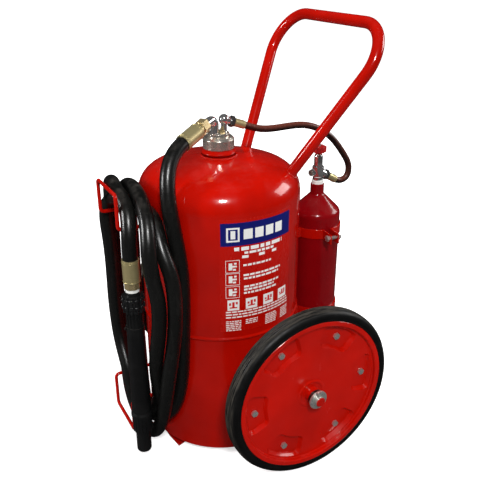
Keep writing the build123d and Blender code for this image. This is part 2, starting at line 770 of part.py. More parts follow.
# the plate runs back under the tank axis, with low stiffeners under the dished bottom
FOOT_T = 4.0
with BuildPart() as front_foot:
    with BuildSketch():
        Polygon(
            (-91, -162),
            (-46, -168),
            (46, -168),
            (91, -162),
            (84, -142),
            (58, -96),
            (56, 24),
            (-56, 24),
            (-58, -96),
            (-84, -142),
            align=None,
        )
    extrude(amount=FOOT_T)
    with BuildSketch(Plane.XY.offset(FOOT_T)):
        for side in (-1, 1):
            with Locations((side * 50, -42)):
                Rectangle(FOOT_T, 112)
    extrude(amount=14)
    with BuildSketch(Plane.XY.offset(FOOT_T)):
        for side in (-1, 1):
            with Locations((side * 50, -134)):
                Rectangle(FOOT_T, 76)
        with Locations((0, -134)):
            Rectangle(96, FOOT_T)
        Circle(TANK_IN, mode=Mode.INTERSECT)
    extrude(amount=26)
front_foot.part.label = "front_foot"
export_step(front_foot.part, "parts/front_foot.step")

# ---------------------------------------------------------------- instruction label
LABEL_FROM = 63.0
LABEL_TO = 119.0
LABEL_Z = (330.0, 589.0)
LABEL_T = 0.3
with BuildPart() as instruction_label:
    with BuildSketch(Plane.XY.offset(LABEL_Z[0])):
        with BuildLine():
            CenterArc((0, 0), TANK_R + LABEL_T, LABEL_FROM - 90, LABEL_TO - LABEL_FROM)
            CenterArc((0, 0), TANK_R, LABEL_FROM - 90, LABEL_TO - LABEL_FROM)
            Line(
                polar(TANK_R, LABEL_FROM, 0)[:2],
                polar(TANK_R + LABEL_T, LABEL_FROM, 0)[:2],
            )
            Line(polar(TANK_R, LABEL_TO, 0)[:2], polar(TANK_R + LABEL_T, LABEL_TO, 0)[:2])
        make_face()
    extrude(amount=LABEL_Z[1] - LABEL_Z[0])
instruction_label.part.label = "instruction_label"
export_step(instruction_label.part, "parts/instruction_label.step")

# ---------------------------------------------------------------- discharge hose
HOSE_END_Z = 455.0 + NOZZLE_LIFT
hose_root = along(DISCHARGE_CORNER, DISCHARGE_DIR, FERRULE_START + 4)
hose_mouth = along(DISCHARGE_CORNER, DISCHARGE_DIR, FERRULE_END)
hose_tail = (NOZZLE_X, NOZZLE_Y, HOSE_END_Z + 51)

# from the cap down the right of the tank, under, up the left and over the upper hook
FIRST_LOOP = [
    (74, -141, 700),
    (98, -162, 650),
    (114, -162, 582),
    (125, -153, 490),
    (126, -154, 330),
    (117, -160, 200),
    (83, -179, 101),
    (0, -198, 59),
    (-84, -182, 92),
    (-132, -168, 230),
    (-135, -166, 380),
    (-120, -172, 520),
    (-64, -195, 609),
    (0, -201, 629),
    (62, -205, 617),
]
# down the right, under through the lower hook, up the front left and over the arms
SECOND_LOOP = [
    (113, -214, 574),
    (131, -221, 530),
    (133, -217, 480),
    (136, -210, 430),
    (127, -214, 310),
    (103, -210, 228),
    (91, -203, 170),
    (72, -205, 124),
    (56, -217, 95),
    (29, -224, 84),
    (1, -230, 95),
    (-12, -233, 124),
    (-26, -234, 168),
    (-62, -234, 220),
    (-84, -235, 340),
    (-86, -235, 490),
    (-83, -235, 562),
    (-58, -228, 591),
]
# down between the two, lowest turn, up the far left and over the hook to the nozzle
THIRD_LOOP = [
    (0, -211, 594),
    (62, -189, 586),
    (120, -189, 530),
    (141, -183, 490),
    (150, -179, 430),
    (145, -186, 310),
    (135, -198, 215),
    (113, -203, 130),
    (63, -211, 46),
    (0, -213, 27),
    (-66, -216, 54),
    (-118, -210, 160),
    (-118, -217, 340),
    (-117, -216, 500),
    (-113, -216, 568),
    (-62, -227, 626),
    (0, -236, 629),
    (56, -235, 601),
]
HOSE_POINTS = [
    hose_mouth,
    *FIRST_LOOP,
    *SECOND_LOOP,
    *THIRD_LOOP,
    (NOZZLE_X - 3, NOZZLE_Y + 2, 555),
    hose_tail,
]
HOSE_SPANS = 4

with BuildPart() as discharge_hose:
    hose_course = Spline(
        *HOSE_POINTS,
        tangents=(DISCHARGE_DIR, (0, 0, -1)),
        tangent_scalars=(1, 1),
        mode=Mode.PRIVATE,
    )
    hose_wire = Wire(
        [
            hose_course.trim(span / HOSE_SPANS, (span + 1) / HOSE_SPANS)
            for span in range(HOSE_SPANS)
        ]
    )
    with BuildSketch(Plane(origin=hose_mouth, z_dir=DISCHARGE_DIR)):
        Circle(HOSE_R)
    sweep(path=hose_wire, is_frenet=True)
    with BuildSketch(Plane(origin=hose_root, z_dir=DISCHARGE_DIR)):
        Circle(HOSE_R)
    extrude(amount=FERRULE_END - FERRULE_START - 4)
    with BuildSketch(Plane(origin=(NOZZLE_X, NOZZLE_Y, HOSE_END_Z + 4))):
        Circle(HOSE_R)
    extrude(amount=47)
discharge_hose.part.label = "discharge_hose"
export_step(discharge_hose.part, "parts/discharge_hose.step")

# ---------------------------------------------------------------- nozzle, fixed pieces
nozzle_xy = (NOZZLE_X, NOZZLE_Y)
with BuildPart() as hose_end_ferrule:
    with BuildSketch(Plane.XY.offset(HOSE_END_Z)):
        with Locations(nozzle_xy):
            Circle(FERRULE_R)
    extrude(amount=51)
    with BuildSketch(Plane.XY.offset(HOSE_END_Z + 4)):
        with Locations(nozzle_xy):
            Circle(HOSE_R)
    extrude(amount=47, mode=Mode.SUBTRACT)
hose_end_ferrule.part.label = "hose_end_ferrule"
export_step(hose_end_ferrule.part, "parts/hose_end_ferrule.step")

with BuildPart() as hose_swivel_nut:
    with BuildSketch(Plane.XY.offset(HOSE_END_Z - 14)):
        with Locations(nozzle_xy):
            RegularPolygon(16.8, 8)
    extrude(amount=14)
hose_swivel_nut.part.label = "hose_swivel_nut"
export_step(hose_swivel_nut.part, "parts/hose_swivel_nut.step")

with BuildPart() as nozzle_seal:
    with BuildSketch(Plane.XY.offset(HOSE_END_Z - 21)):
        with Locations(nozzle_xy):
            Circle(14.8)
    extrude(amount=7)
nozzle_seal.part.label = "nozzle_seal"
export_step(nozzle_seal.part, "parts/nozzle_seal.step")

KNOB_LOW_Z = 388.0 + NOZZLE_LIFT
STEM_LOW_Z = 300.0 + NOZZLE_LIFT
with BuildPart() as nozzle_knob:
    with BuildSketch(Plane.XY.offset(KNOB_LOW_Z)):
        with Locations(nozzle_xy):
            Circle(20.0)
            with PolarLocations(20.0, 12):
                Circle(3.0)
    extrude(amount=38)
    with BuildSketch(Plane.XY.offset(KNOB_LOW_Z + 38)):
        with Locations(nozzle_xy):
            Circle(16.0)
    extrude(amount=8)
    with BuildSketch(Plane.XY.offset(STEM_LOW_Z)):
        with Locations(nozzle_xy):
            Circle(NOZZLE_STEM_R)
    extrude(amount=KNOB_LOW_Z - STEM_LOW_Z)
    with BuildSketch(Plane.XY.offset(STEM_LOW_Z)):
        with Locations(nozzle_xy):
            Circle(6.0)
    extrude(amount=KNOB_LOW_Z + 46 - STEM_LOW_Z, mode=Mode.SUBTRACT)
nozzle_knob.part.label = "nozzle_knob"
export_step(nozzle_knob.part, "parts/nozzle_knob.step")

# ---------------------------------------------------------------- nozzle, turning barrel
SLEEVE_TOP_Z = KNOB_LOW_Z - 1.0
SLEEVE_LOW_Z = 346.0 + NOZZLE_LIFT
with BuildPart() as nozzle_sleeve:
    with BuildSketch(Plane.XY.offset(SLEEVE_LOW_Z)):
        with Locations(nozzle_xy):
            Circle(18.0)
            with PolarLocations(18.0, 16):
                Circle(1.6, mode=Mode.SUBTRACT)
            Circle(NOZZLE_STEM_R + RUNNING, mode=Mode.SUBTRACT)
    extrude(amount=SLEEVE_TOP_Z - SLEEVE_LOW_Z)
    with BuildSketch(Plane.XY.offset(SLEEVE_LOW_Z)):
        with Locations(nozzle_xy):
            Circle(20.0)
            Circle(NOZZLE_STEM_R + RUNNING, mode=Mode.SUBTRACT)
        with Locations((NOZZLE_X, NOZZLE_Y - 20.5)):
            Rectangle(5, 7)
    extrude(amount=5)
nozzle_sleeve.part.label = "nozzle_sleeve"
export_step(nozzle_sleeve.part, "parts/nozzle_sleeve.step")

GRIP_LOW_Z = 120.0 + NOZZLE_LIFT
nozzle_frame = Plane(origin=(NOZZLE_X, NOZZLE_Y, 0), x_dir=(1, 0, 0), z_dir=(0, -1, 0))
nozzle_axis = Axis((NOZZLE_X, NOZZLE_Y, 0), (0, 0, 1))
with BuildPart() as nozzle_grip:
    with BuildSketch(nozzle_frame):
        Polygon(
            (NOZZLE_STEM_R + RUNNING, SLEEVE_LOW_Z),
            (18.8, SLEEVE_LOW_Z),
            (21.6, GRIP_LOW_Z + 20),
            (21.6, GRIP_LOW_Z + 12),
            (24.0, GRIP_LOW_Z + 7),
            (24.0, GRIP_LOW_Z),
            (9.0, GRIP_LOW_Z),
            (9.0, STEM_LOW_Z - 10),
            (NOZZLE_STEM_R + RUNNING, STEM_LOW_Z - 10),
            align=None,
        )
    revolve(axis=nozzle_axis)
nozzle_grip.part.label = "nozzle_grip"
export_step(nozzle_grip.part, "parts/nozzle_grip.step")

TIP_TOP_Z = 80.0 + NOZZLE_LIFT
with BuildPart() as nozzle_ribbed_ring:
    with BuildSketch(Plane.XY.offset(TIP_TOP_Z)):
        with Locations(nozzle_xy):
            Circle(21.8)
            with PolarLocations(21.8, 18):
                Circle(1.4, mode=Mode.SUBTRACT)
            Circle(9.0, mode=Mode.SUBTRACT)
    extrude(amount=GRIP_LOW_Z - TIP_TOP_Z)
nozzle_ribbed_ring.part.label = "nozzle_ribbed_ring"
export_step(nozzle_ribbed_ring.part, "parts/nozzle_ribbed_ring.step")

with BuildPart() as nozzle_tip:
    with BuildSketch(nozzle_frame):
        Polygon(
            (9.0, TIP_TOP_Z),
            (16.6, TIP_TOP_Z),
            (16.6, TIP_TOP_Z - 55),
            (15.0, TIP_TOP_Z - 58),
            (12.5, TIP_TOP_Z - 58),
            (12.5, TIP_TOP_Z - 35),
            (9.0, TIP_TOP_Z - 25),
            align=None,
        )
    revolve(axis=nozzle_axis)
nozzle_tip.part.label = "nozzle_tip"
export_step(nozzle_tip.part, "parts/nozzle_tip.step")

# ---------------------------------------------------------------- wheels and axles
BOSS_END = 246.0
WASHER_T = 3.0
BUSH_START = BOSS_END + WASHER_T + 0.5
BUSH_END = 311.5
HUB_R = 17.0
HUB_BORE_R = 14.5
OUTER_WASHER_X = BUSH_END + 0.5
AXLE_END = 325.0
PIN_R = 1.7
PIN_X = OUTER_WASHER_X + WASHER_T + PIN_R + 1.8


def wheel_frame(side):
    """Sketch plane through the wheel axis: local X radial, local Y outwards."""
    return Plane(
        origin=(side * WHEEL_X, AXLE_Y, WHEEL_R), x_dir=(0, 1, 0), z_dir=(0, 0, -side)
    )


def face_frame(side, offset):
    """Plane parallel to the wheel face, facing outwards."""
    return Plane(
        origin=(side * (WHEEL_X + offset), AXLE_Y, WHEEL_R), x_dir=(0, 1, 0), z_dir=(side, 0, 0)
    )


def shaft_frame(side, x):
    """Plane across the axle at a distance from the tank axis, facing outwards."""
    return Plane(origin=(side * x, AXLE_Y, WHEEL_R), x_dir=(0, 1, 0), z_dir=(side, 0, 0))


def pocket_outline(grow):
    """One sector between two spokes, grown outwards by a margin."""
    inner = POCKET_IN_R - grow
    outer = POCKET_OUT_R + grow
    half = POCKET_HALF_ANGLE + math.degrees(grow / BOLT_CIRCLE_R)
    with BuildSketch(mode=Mode.PRIVATE) as pocket:
        with BuildLine():
            CenterArc((0, 0), inner, -half, 2 * half)
            CenterArc((0, 0), outer, -half, 2 * half)
            for sign in (-1, 1):
                angle = math.radians(sign * half)
                Line(
                    (inner * math.cos(angle), inner * math.sin(angle)),
                    (outer * math.cos(angle), outer * math.sin(angle)),
                )
        make_face()
        fillet(pocket.vertices(), POCKET_CORNER + grow)
    return pocket.sketch


BOLT_ANGLES = [WHEEL_PHASE + 360 / SPOKES * index for index in range(SPOKES)]

for side_name, side in (("right", 1), ("left", -1)):
    axis = Axis((side * WHEEL_X, AXLE_Y, WHEEL_R), (side, 0, 0))

    with BuildPart() as tyre:
        with BuildSketch(wheel_frame(side)) as section:
            with Locations(((RIM_BED_R + RIM_R + 2) / 2 + 0.05, 0)):
                Rectangle(RIM_R + 2 - RIM_BED_R, 2 * (TYRE_HALF - SHEET - 0.1))
            with Locations(((RIM_R + WHEEL_R) / 2 + 0.2, 0)):
                Rectangle(WHEEL_R - RIM_R - 0.4, 2 * TYRE_HALF)
            fillet(section.vertices().group_by(Axis.X)[-1], SHOULDER_R)
            for groove in (-7.5, -2.5, 2.5, 7.5):
                with Locations((WHEEL_R, groove)):
                    Rectangle(2.4, 2.0, mode=Mode.SUBTRACT)
        revolve(axis=axis)
    tyre.part.label = f"tyre_{side_name}"
    export_step(tyre.part, f"parts/tyre_{side_name}.step")

    for face_name, flip in (("outer", 1), ("inner", -1)):
        with BuildPart() as disc:
            with BuildSketch(wheel_frame(side)):
                with BuildLine():
                    Polyline(
                        (HUB_R, flip * DISC_RAISE),
                        (HUB_R, flip * (DISC_RAISE - SHEET)),
                        (RIM_BED_R - SHEET, flip * (DISC_RAISE - SHEET)),
                        (RIM_BED_R - SHEET, flip * (DISC_RAISE - SHEET - 1)),
                        (RIM_BED_R, flip * (DISC_RAISE - SHEET - 1)),
                        (RIM_BED_R, flip * (TYRE_HALF - SHEET)),
                        (RIM_R, flip * (TYRE_HALF - SHEET)),
                        (RIM_R, flip * (TYRE_HALF - 0.6)),
                        (RIM_R - 0.6, flip * TYRE_HALF),
                        (RIM_BED_R, flip * TYRE_HALF),
                        (RIM_BED_R - SHEET, flip * (TYRE_HALF - SHEET)),
                        (RIM_BED_R - SHEET, flip * (DISC_RAISE + 2)),
                        (RIM_BED_R - SHEET - 2, flip * DISC_RAISE),
                        (34, flip * DISC_RAISE),
                        (31, flip * (DISC_RAISE + 1.5)),
                        (28, flip * (DISC_RAISE + 1.5)),
                        (25, flip * DISC_RAISE),
                        close=True,
                    )
                make_face()
            revolve(axis=axis)
            for grow, depth, mode in (
                (SHEET, DISC_RAISE, Mode.ADD),
                (0.0, DISC_RAISE - SHEET, Mode.SUBTRACT),
            ):
                for angle in BOLT_ANGLES:
                    with BuildSketch(face_frame(side, flip * DISC_RAISE)):
                        add(pocket_outline(grow).rotate(Axis.Z, angle))
                    with BuildSketch(face_frame(side, flip * (DISC_RAISE - depth))):
                        add(pocket_outline(grow - POCKET_SLOPE * depth).rotate(Axis.Z, angle))
                    loft(mode=mode)
            with BuildSketch(face_frame(side, 0)):
                with PolarLocations(BOLT_CIRCLE_R, SPOKES, start_angle=WHEEL_PHASE):
                    Circle(M8_R)
            extrude(amount=flip * SHEET, mode=Mode.SUBTRACT)
        disc.part.label = f"wheel_{face_name}_disc_{side_name}"
        export_step(disc.part, f"parts/wheel_{face_name}_disc_{side_name}.step")

    with BuildPart() as hub_tube:
        with BuildSketch(shaft_frame(side, BUSH_START + 1.5)):
            Circle(HUB_R)
            Circle(HUB_BORE_R, mode=Mode.SUBTRACT)
        extrude(amount=2 * (WHEEL_X - BUSH_START - 1.5))
    hub_tube.part.label = f"hub_tube_{side_name}"
    export_step(hub_tube.part, f"parts/hub_tube_{side_name}.step")

    with BuildPart() as hub_bush:
        with BuildSketch(shaft_frame(side, BUSH_START)):
            Circle(HUB_BORE_R)
        extrude(amount=BUSH_END - BUSH_START)
        with BuildSketch(shaft_frame(side, BUSH_START)):
            Circle(18.5)
        extrude(amount=1.5)
        with BuildSketch(shaft_frame(side, 2 * WHEEL_X - BUSH_START - 1.5)):
            Circle(18.5)
        extrude(amount=BUSH_END - (2 * WHEEL_X - BUSH_START - 1.5))
        with BuildSketch(shaft_frame(side, BUSH_START)):
            Circle(AXLE_R + RUNNING)
        extrude(amount=BUSH_END - BUSH_START, mode=Mode.SUBTRACT)
    hub_bush.part.label = f"hub_bush_{side_name}"
    export_step(hub_bush.part, f"parts/hub_bush_{side_name}.step")

    with BuildPart() as wheel_bolts:
        with BuildSketch(face_frame(side, SHEET)):
            with PolarLocations(BOLT_CIRCLE_R, SPOKES, start_angle=WHEEL_PHASE):
                RegularPolygon(7.5, 6)
        extrude(amount=5.3)
        with BuildSketch(face_frame(side, SHEET)):
            with PolarLocations(BOLT_CIRCLE_R, SPOKES, start_angle=WHEEL_PHASE):
                Circle(M8_R)
        extrude(amount=-(2 * SHEET + 9))
    wheel_bolts.part.label = f"wheel_bolts_{side_name}"
    export_step(wheel_bolts.part, f"parts/wheel_bolts_{side_name}.step")

    with BuildPart() as wheel_nuts:
        with BuildSketch(face_frame(side, -SHEET)):
            with PolarLocations(BOLT_CIRCLE_R, SPOKES, start_angle=WHEEL_PHASE):
                RegularPolygon(7.5, 6)
            with PolarLocations(BOLT_CIRCLE_R, SPOKES, start_angle=WHEEL_PHASE):
                Circle(M8_R, mode=Mode.SUBTRACT)
        extrude(amount=-6.5)
    wheel_nuts.part.label = f"wheel_nuts_{side_name}"
    export_step(wheel_nuts.part, f"parts/wheel_nuts_{side_name}.step")

with BuildPart() as stub_axles:
    for side in (-1, 1):
        with BuildSketch(shaft_frame(side, 190)):
            Circle(AXLE_R)
        extrude(amount=AXLE_END - 1.5 - 190)
        with BuildSketch(shaft_frame(side, AXLE_END - 1.5)):
            Circle(AXLE_R)
        extrude(amount=1.5, taper=45)
        with BuildSketch(Plane(origin=(side * PIN_X, AXLE_Y, WHEEL_R - 15))):
            Circle(PIN_R)
        extrude(amount=30, mode=Mode.SUBTRACT)
stub_axles.part.label = "stub_axles"
export_step(stub_axles.part, "parts/stub_axles.step")

with BuildPart() as axle_brackets:
    for side in (-1, 1):
        with BuildSketch(shaft_frame(side, 150)):
            Circle(18.0)
        extrude(amount=BOSS_END - 150)
        with BuildSketch(Plane(origin=(0, AXLE_Y + 4, 0), x_dir=(1, 0, 0), z_dir=(0, -1, 0))):
            Polygon(
                (side * 150, WHEEL_R + 100),
                (side * (BOSS_END - 6), WHEEL_R + 10),
                (side * (BOSS_END - 6), WHEEL_R - 10),
                (side * 150, WHEEL_R - 80),
                align=None,
            )
        extrude(amount=8)
    with BuildSketch(Plane.XY.offset(WHEEL_R - 100)):
        Circle(TANK_R)
    extrude(amount=220, mode=Mode.SUBTRACT)
    for side in (-1, 1):
        with BuildSketch(shaft_frame(side, 190)):
            Circle(AXLE_R)
        extrude(amount=BOSS_END - 190, mode=Mode.SUBTRACT)
axle_brackets.part.label = "axle_brackets"
export_step(axle_brackets.part, "parts/axle_brackets.step")

with BuildPart() as axle_washers:
    for side in (-1, 1):
        for washer_x in (BOSS_END, OUTER_WASHER_X):
            with BuildSketch(shaft_frame(side, washer_x)):
                Circle(21.5)
                Circle(AXLE_R, mode=Mode.SUBTRACT)
            extrude(amount=WASHER_T)
axle_washers.part.label = "axle_washers"
export_step(axle_washers.part, "parts/axle_washers.step")

with BuildPart() as cotter_pins:
    for side in (-1, 1):
        with BuildSketch(Plane(origin=(side * PIN_X, AXLE_Y, WHEEL_R - 17))):
            Circle(PIN_R)
        extrude(amount=30)
        with BuildSketch(Plane(origin=(side * PIN_X, AXLE_Y, WHEEL_R + 17.5), z_dir=(1, 0, 0))):
            Circle(6.2)
            Circle(3.0, mode=Mode.SUBTRACT)
        extrude(amount=1.5, both=True)
cotter_pins.part.label = "cotter_pins"
export_step(cotter_pins.part, "parts/cotter_pins.step")
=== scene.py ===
"""Looks of the wheeled fire extinguisher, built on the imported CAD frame. Metres, +Z up."""

import json
import math

import bpy
import numpy as np
from mathutils import Matrix, Vector
from mathutils.bvhtree import BVHTree

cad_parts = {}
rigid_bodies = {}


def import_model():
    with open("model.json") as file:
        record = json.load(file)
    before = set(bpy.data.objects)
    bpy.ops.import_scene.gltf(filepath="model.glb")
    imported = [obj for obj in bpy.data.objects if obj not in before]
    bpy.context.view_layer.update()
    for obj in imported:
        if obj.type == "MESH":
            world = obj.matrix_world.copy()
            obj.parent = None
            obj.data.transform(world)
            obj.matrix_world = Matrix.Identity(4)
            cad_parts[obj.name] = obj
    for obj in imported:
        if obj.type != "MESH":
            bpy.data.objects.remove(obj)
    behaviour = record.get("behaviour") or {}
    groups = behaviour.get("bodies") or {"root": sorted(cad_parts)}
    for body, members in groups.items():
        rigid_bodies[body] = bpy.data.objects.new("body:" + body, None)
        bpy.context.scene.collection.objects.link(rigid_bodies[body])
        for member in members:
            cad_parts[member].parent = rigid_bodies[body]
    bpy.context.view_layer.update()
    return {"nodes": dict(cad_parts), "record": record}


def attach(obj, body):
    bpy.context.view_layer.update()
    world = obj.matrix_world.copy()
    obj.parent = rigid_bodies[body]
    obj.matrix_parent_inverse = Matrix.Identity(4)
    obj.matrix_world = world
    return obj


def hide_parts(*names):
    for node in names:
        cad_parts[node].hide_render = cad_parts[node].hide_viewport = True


# A factory scene brings a cube, a lamp and a camera of its own.
for leftover in list(bpy.data.objects):
    bpy.data.objects.remove(leftover)

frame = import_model()
NODES = frame["nodes"]
RECORD = frame["record"]
MM = 0.001

# Sizes taken over from the CAD, metres.
TANK_R = 0.180
LABEL_R = 0.1803
AXLE_Y, AXLE_Z = 0.0726, 0.2
WHEEL_X = 0.277
TYRE_R = 0.2
AXLE_END_X = 0.3225  # beyond this the axle stubs were painted over
HOSE_R = 0.0159
GAS_HOSE_R = 0.0078
CLAMP_HEIGHTS = (0.451, 0.235)
HOOK_HEIGHTS = (0.564, 0.144)
HOOK_ARM_X = 0.058
LEG_FOOT = (0.103, 0.1227, 0.640)  # the right handle leg, where it meets the dome
LEG_TOP = (0.221, 0.290, 0.941)
LEG_WELD_R = 0.0133
HOOK_WELD_R = 0.0046
NECK_WELD_R, NECK_WELD_Z = 0.0386, 0.6705
FERRULE_RIM_R = 0.0176
GAS_FERRULE_RIM_R = 0.0092

# Pattern sizes.
WEAVE_COUNT = 90  # threads around the hose
WEAVE_PITCH = 0.0011
BRAID_PITCH = 0.0062
INK = 0.00012  # thickness of the print


# ---------------------------------------------------------------- materials

DUST = (0.30, 0.27, 0.24)
PAINT_DUST = (0.62, 0.50, 0.45)
PAINT_CHIP = (0.34, 0.10, 0.08)
HOSE_SCUFF = (0.06, 0.057, 0.052)
ROAD_DIRT = (0.085, 0.074, 0.058)


class Shader:
    """A principled material assembled from named procedural layers."""

    def __init__(self, name, metallic=0.0, coat=0.0, coat_rough=0.05, specular=0.5):
        self.mat = bpy.data.materials.new(name)
        self.mat.use_nodes = True
        self.tree = self.mat.node_tree
        self.tree.nodes.clear()
        self.out = self.add("ShaderNodeOutputMaterial")
        self.bsdf = self.add("ShaderNodeBsdfPrincipled")
        self.link(self.bsdf.outputs[0], self.out.inputs[0])
        self.bsdf.inputs["Metallic"].default_value = metallic
        self.bsdf.inputs["Coat Weight"].default_value = coat
        self.bsdf.inputs["Coat Roughness"].default_value = coat_rough
        self.bsdf.inputs["Specular IOR Level"].default_value = specular
        self.coords = self.add("ShaderNodeTexCoord")
        self.height = None

    def add(self, kind):
        return self.tree.nodes.new(kind)

    def link(self, a, b):
        self.tree.links.new(a, b)

    def noise(self, scale, detail=4.0, stretch=(1, 1, 1), rough=0.55):
        mapping = self.add("ShaderNodeMapping")
        mapping.inputs["Scale"].default_value = stretch
        self.link(self.coords.outputs["Object"], mapping.inputs["Vector"])
        node = self.add("ShaderNodeTexNoise")
        node.inputs["Scale"].default_value = scale
        node.inputs["Detail"].default_value = detail
        node.inputs["Roughness"].default_value = rough
        self.link(mapping.outputs[0], node.inputs["Vector"])
        return node.outputs["Fac"]

    def span(self, value, low, high, to_low=0.0, to_high=1.0):
        node = self.add("ShaderNodeMapRange")
        node.inputs["From Min"].default_value = low
        node.inputs["From Max"].default_value = high
        node.inputs["To Min"].default_value = to_low
        node.inputs["To Max"].default_value = to_high
        self.link(value, node.inputs["Value"])
        return node.outputs["Result"]

    def math(self, kind, a, b=0):
        node = self.add("ShaderNodeMath")
        node.operation = kind
        for index, item in enumerate((a, b)):
            if isinstance(item, (int, float)):
                node.inputs[index].default_value = item
            else:
                self.link(item, node.inputs[index])
        return node.outputs[0]

    def mix(self, factor, a, b):
        node = self.add("ShaderNodeMix")
        node.data_type = "RGBA"
        self.link(factor, node.inputs["Factor"])
        for socket, item in ((node.inputs[6], a), (node.inputs[7], b)):
            if isinstance(item, tuple):
                socket.default_value = (*item, 1.0)
            else:
                self.link(item, socket)
        return node.outputs[2]

    def bump(self, value, strength, distance):
        node = self.add("ShaderNodeBump")
        node.inputs["Strength"].default_value = strength
        node.inputs["Distance"].default_value = distance
        self.link(value, node.inputs["Height"])
        if self.height is not None:
            self.link(self.height, node.inputs["Normal"])
        self.height = node.outputs[0]

    def upward(self, low=0.45, high=1.0):
        """0 on sides and undersides, 1 on faces that look up."""
        geometry = self.add("ShaderNodeNewGeometry")
        split = self.add("ShaderNodeSeparateXYZ")
        self.link(geometry.outputs["Normal"], split.inputs[0])
        return self.span(split.outputs["Z"], low, high)

    def dusty(self, colour, scale, amount):
        """The colour with patches of dust where the surface looks up."""
        specks = self.span(self.noise(scale, 5.0), 0.45, 0.75)
        film = self.math("MULTIPLY", specks, self.upward())
        return self.mix(self.math("MULTIPLY", film, amount), colour, DUST)

    def edges(self, radius):
        """1 along sharp convex and concave edges, found from a rounded normal."""
        soft = self.add("ShaderNodeBevel")
        soft.samples = 4
        soft.inputs["Radius"].default_value = radius
        geometry = self.add("ShaderNodeNewGeometry")
        dot = self.add("ShaderNodeVectorMath")
        dot.operation = "DOT_PRODUCT"
        self.link(soft.outputs[0], dot.inputs[0])
        self.link(geometry.outputs["Normal"], dot.inputs[1])
        return self.span(dot.outputs["Value"], 0.99, 0.86)

    def done(self, colour, rough):
        self.link(colour, self.bsdf.inputs["Base Color"])
        self.link(rough, self.bsdf.inputs["Roughness"])
        if self.height is not None:
            self.link(self.height, self.bsdf.inputs["Normal"])
            self.link(self.height, self.bsdf.inputs["Coat Normal"])
        return self.mat


def paint(name, base, deep, rough, coat, dust, peel, chip=None):
    """Sprayed enamel: slow colour drift, orange peel, faint dust on top and worn edges."""
    s = Shader(name, coat=coat * 0.6, coat_rough=0.03, specular=0.18)
    drift = s.span(s.noise(7.0, 3.0), 0.3, 0.7)
    colour = s.mix(drift, base, deep)
    fleck = s.span(s.noise(420.0, 2.0), 0.62, 0.80)
    colour = s.mix(s.math("MULTIPLY", fleck, 0.10), colour, deep)
    smear = s.noise(28.0, 6.0, (1, 1, 0.45), 0.65)
    film = s.math("MULTIPLY", s.span(smear, 0.48, 0.78), s.upward())
    film = s.math("MULTIPLY", film, dust)
    colour = s.mix(film, colour, PAINT_DUST)
    if chip:
        worn = s.math("MULTIPLY", s.edges(0.0009), s.span(s.noise(160.0, 5.0), 0.50, 0.62))
        colour = s.mix(s.math("MULTIPLY", worn, chip), colour, PAINT_CHIP)
    haze = s.span(smear, 0.35, 0.75, rough * 0.8, rough * 1.35)
    haze = s.math("ADD", haze, s.math("MULTIPLY", film, 0.35))
    s.bump(s.noise(260.0, 2.0), peel, 0.0006)
    s.bump(s.noise(36.0, 2.0), peel * 0.5, 0.0012)
    return s.done(colour, haze)


def metal(
    name, base, stain, rough, grain, stretch=(1, 1, 1), tarnish=0.5, bump=0.12, satin=0.2
):
    """Machined or plated metal with turning grain, tarnish patches and fine scratches."""
    s = Shader(name, metallic=1.0 - satin)
    patch = s.span(s.noise(85.0, 6.0), 0.42, 0.70)
    colour = s.mix(s.math("MULTIPLY", patch, tarnish), base, stain)
    lines = s.noise(grain, 3.0, stretch, 0.7)
    scratch = s.span(s.noise(grain * 0.45, 8.0, (3, 0.4, 2)), 0.60, 0.66)
    colour = s.mix(s.math("MULTIPLY", scratch, 0.18), colour, stain)
    haze = s.span(lines, 0.3, 0.7, rough * 0.75, rough * 1.3)
    haze = s.math("ADD", haze, s.math("MULTIPLY", patch, 0.12))
    s.bump(lines, bump, 0.0002)
    return s.done(colour, haze)


def rubber(name, base, bloom, rough, grain, bump, dust=0.25):
    """Moulded rubber: fine leathery grain, grey bloom in patches and dust on top."""
    s = Shader(name, specular=0.35)
    patch = s.span(s.noise(22.0, 6.0), 0.42, 0.72)
    colour = s.mix(s.math("MULTIPLY", patch, 0.6), base, bloom)
    colour = s.dusty(colour, 60.0, dust)
    fine = s.noise(grain, 3.0)
    haze = s.span(s.noise(90.0, 5.0), 0.3, 0.7, rough * 0.85, rough * 1.2)
    s.bump(fine, bump, 0.0004)
    return s.done(colour, haze)


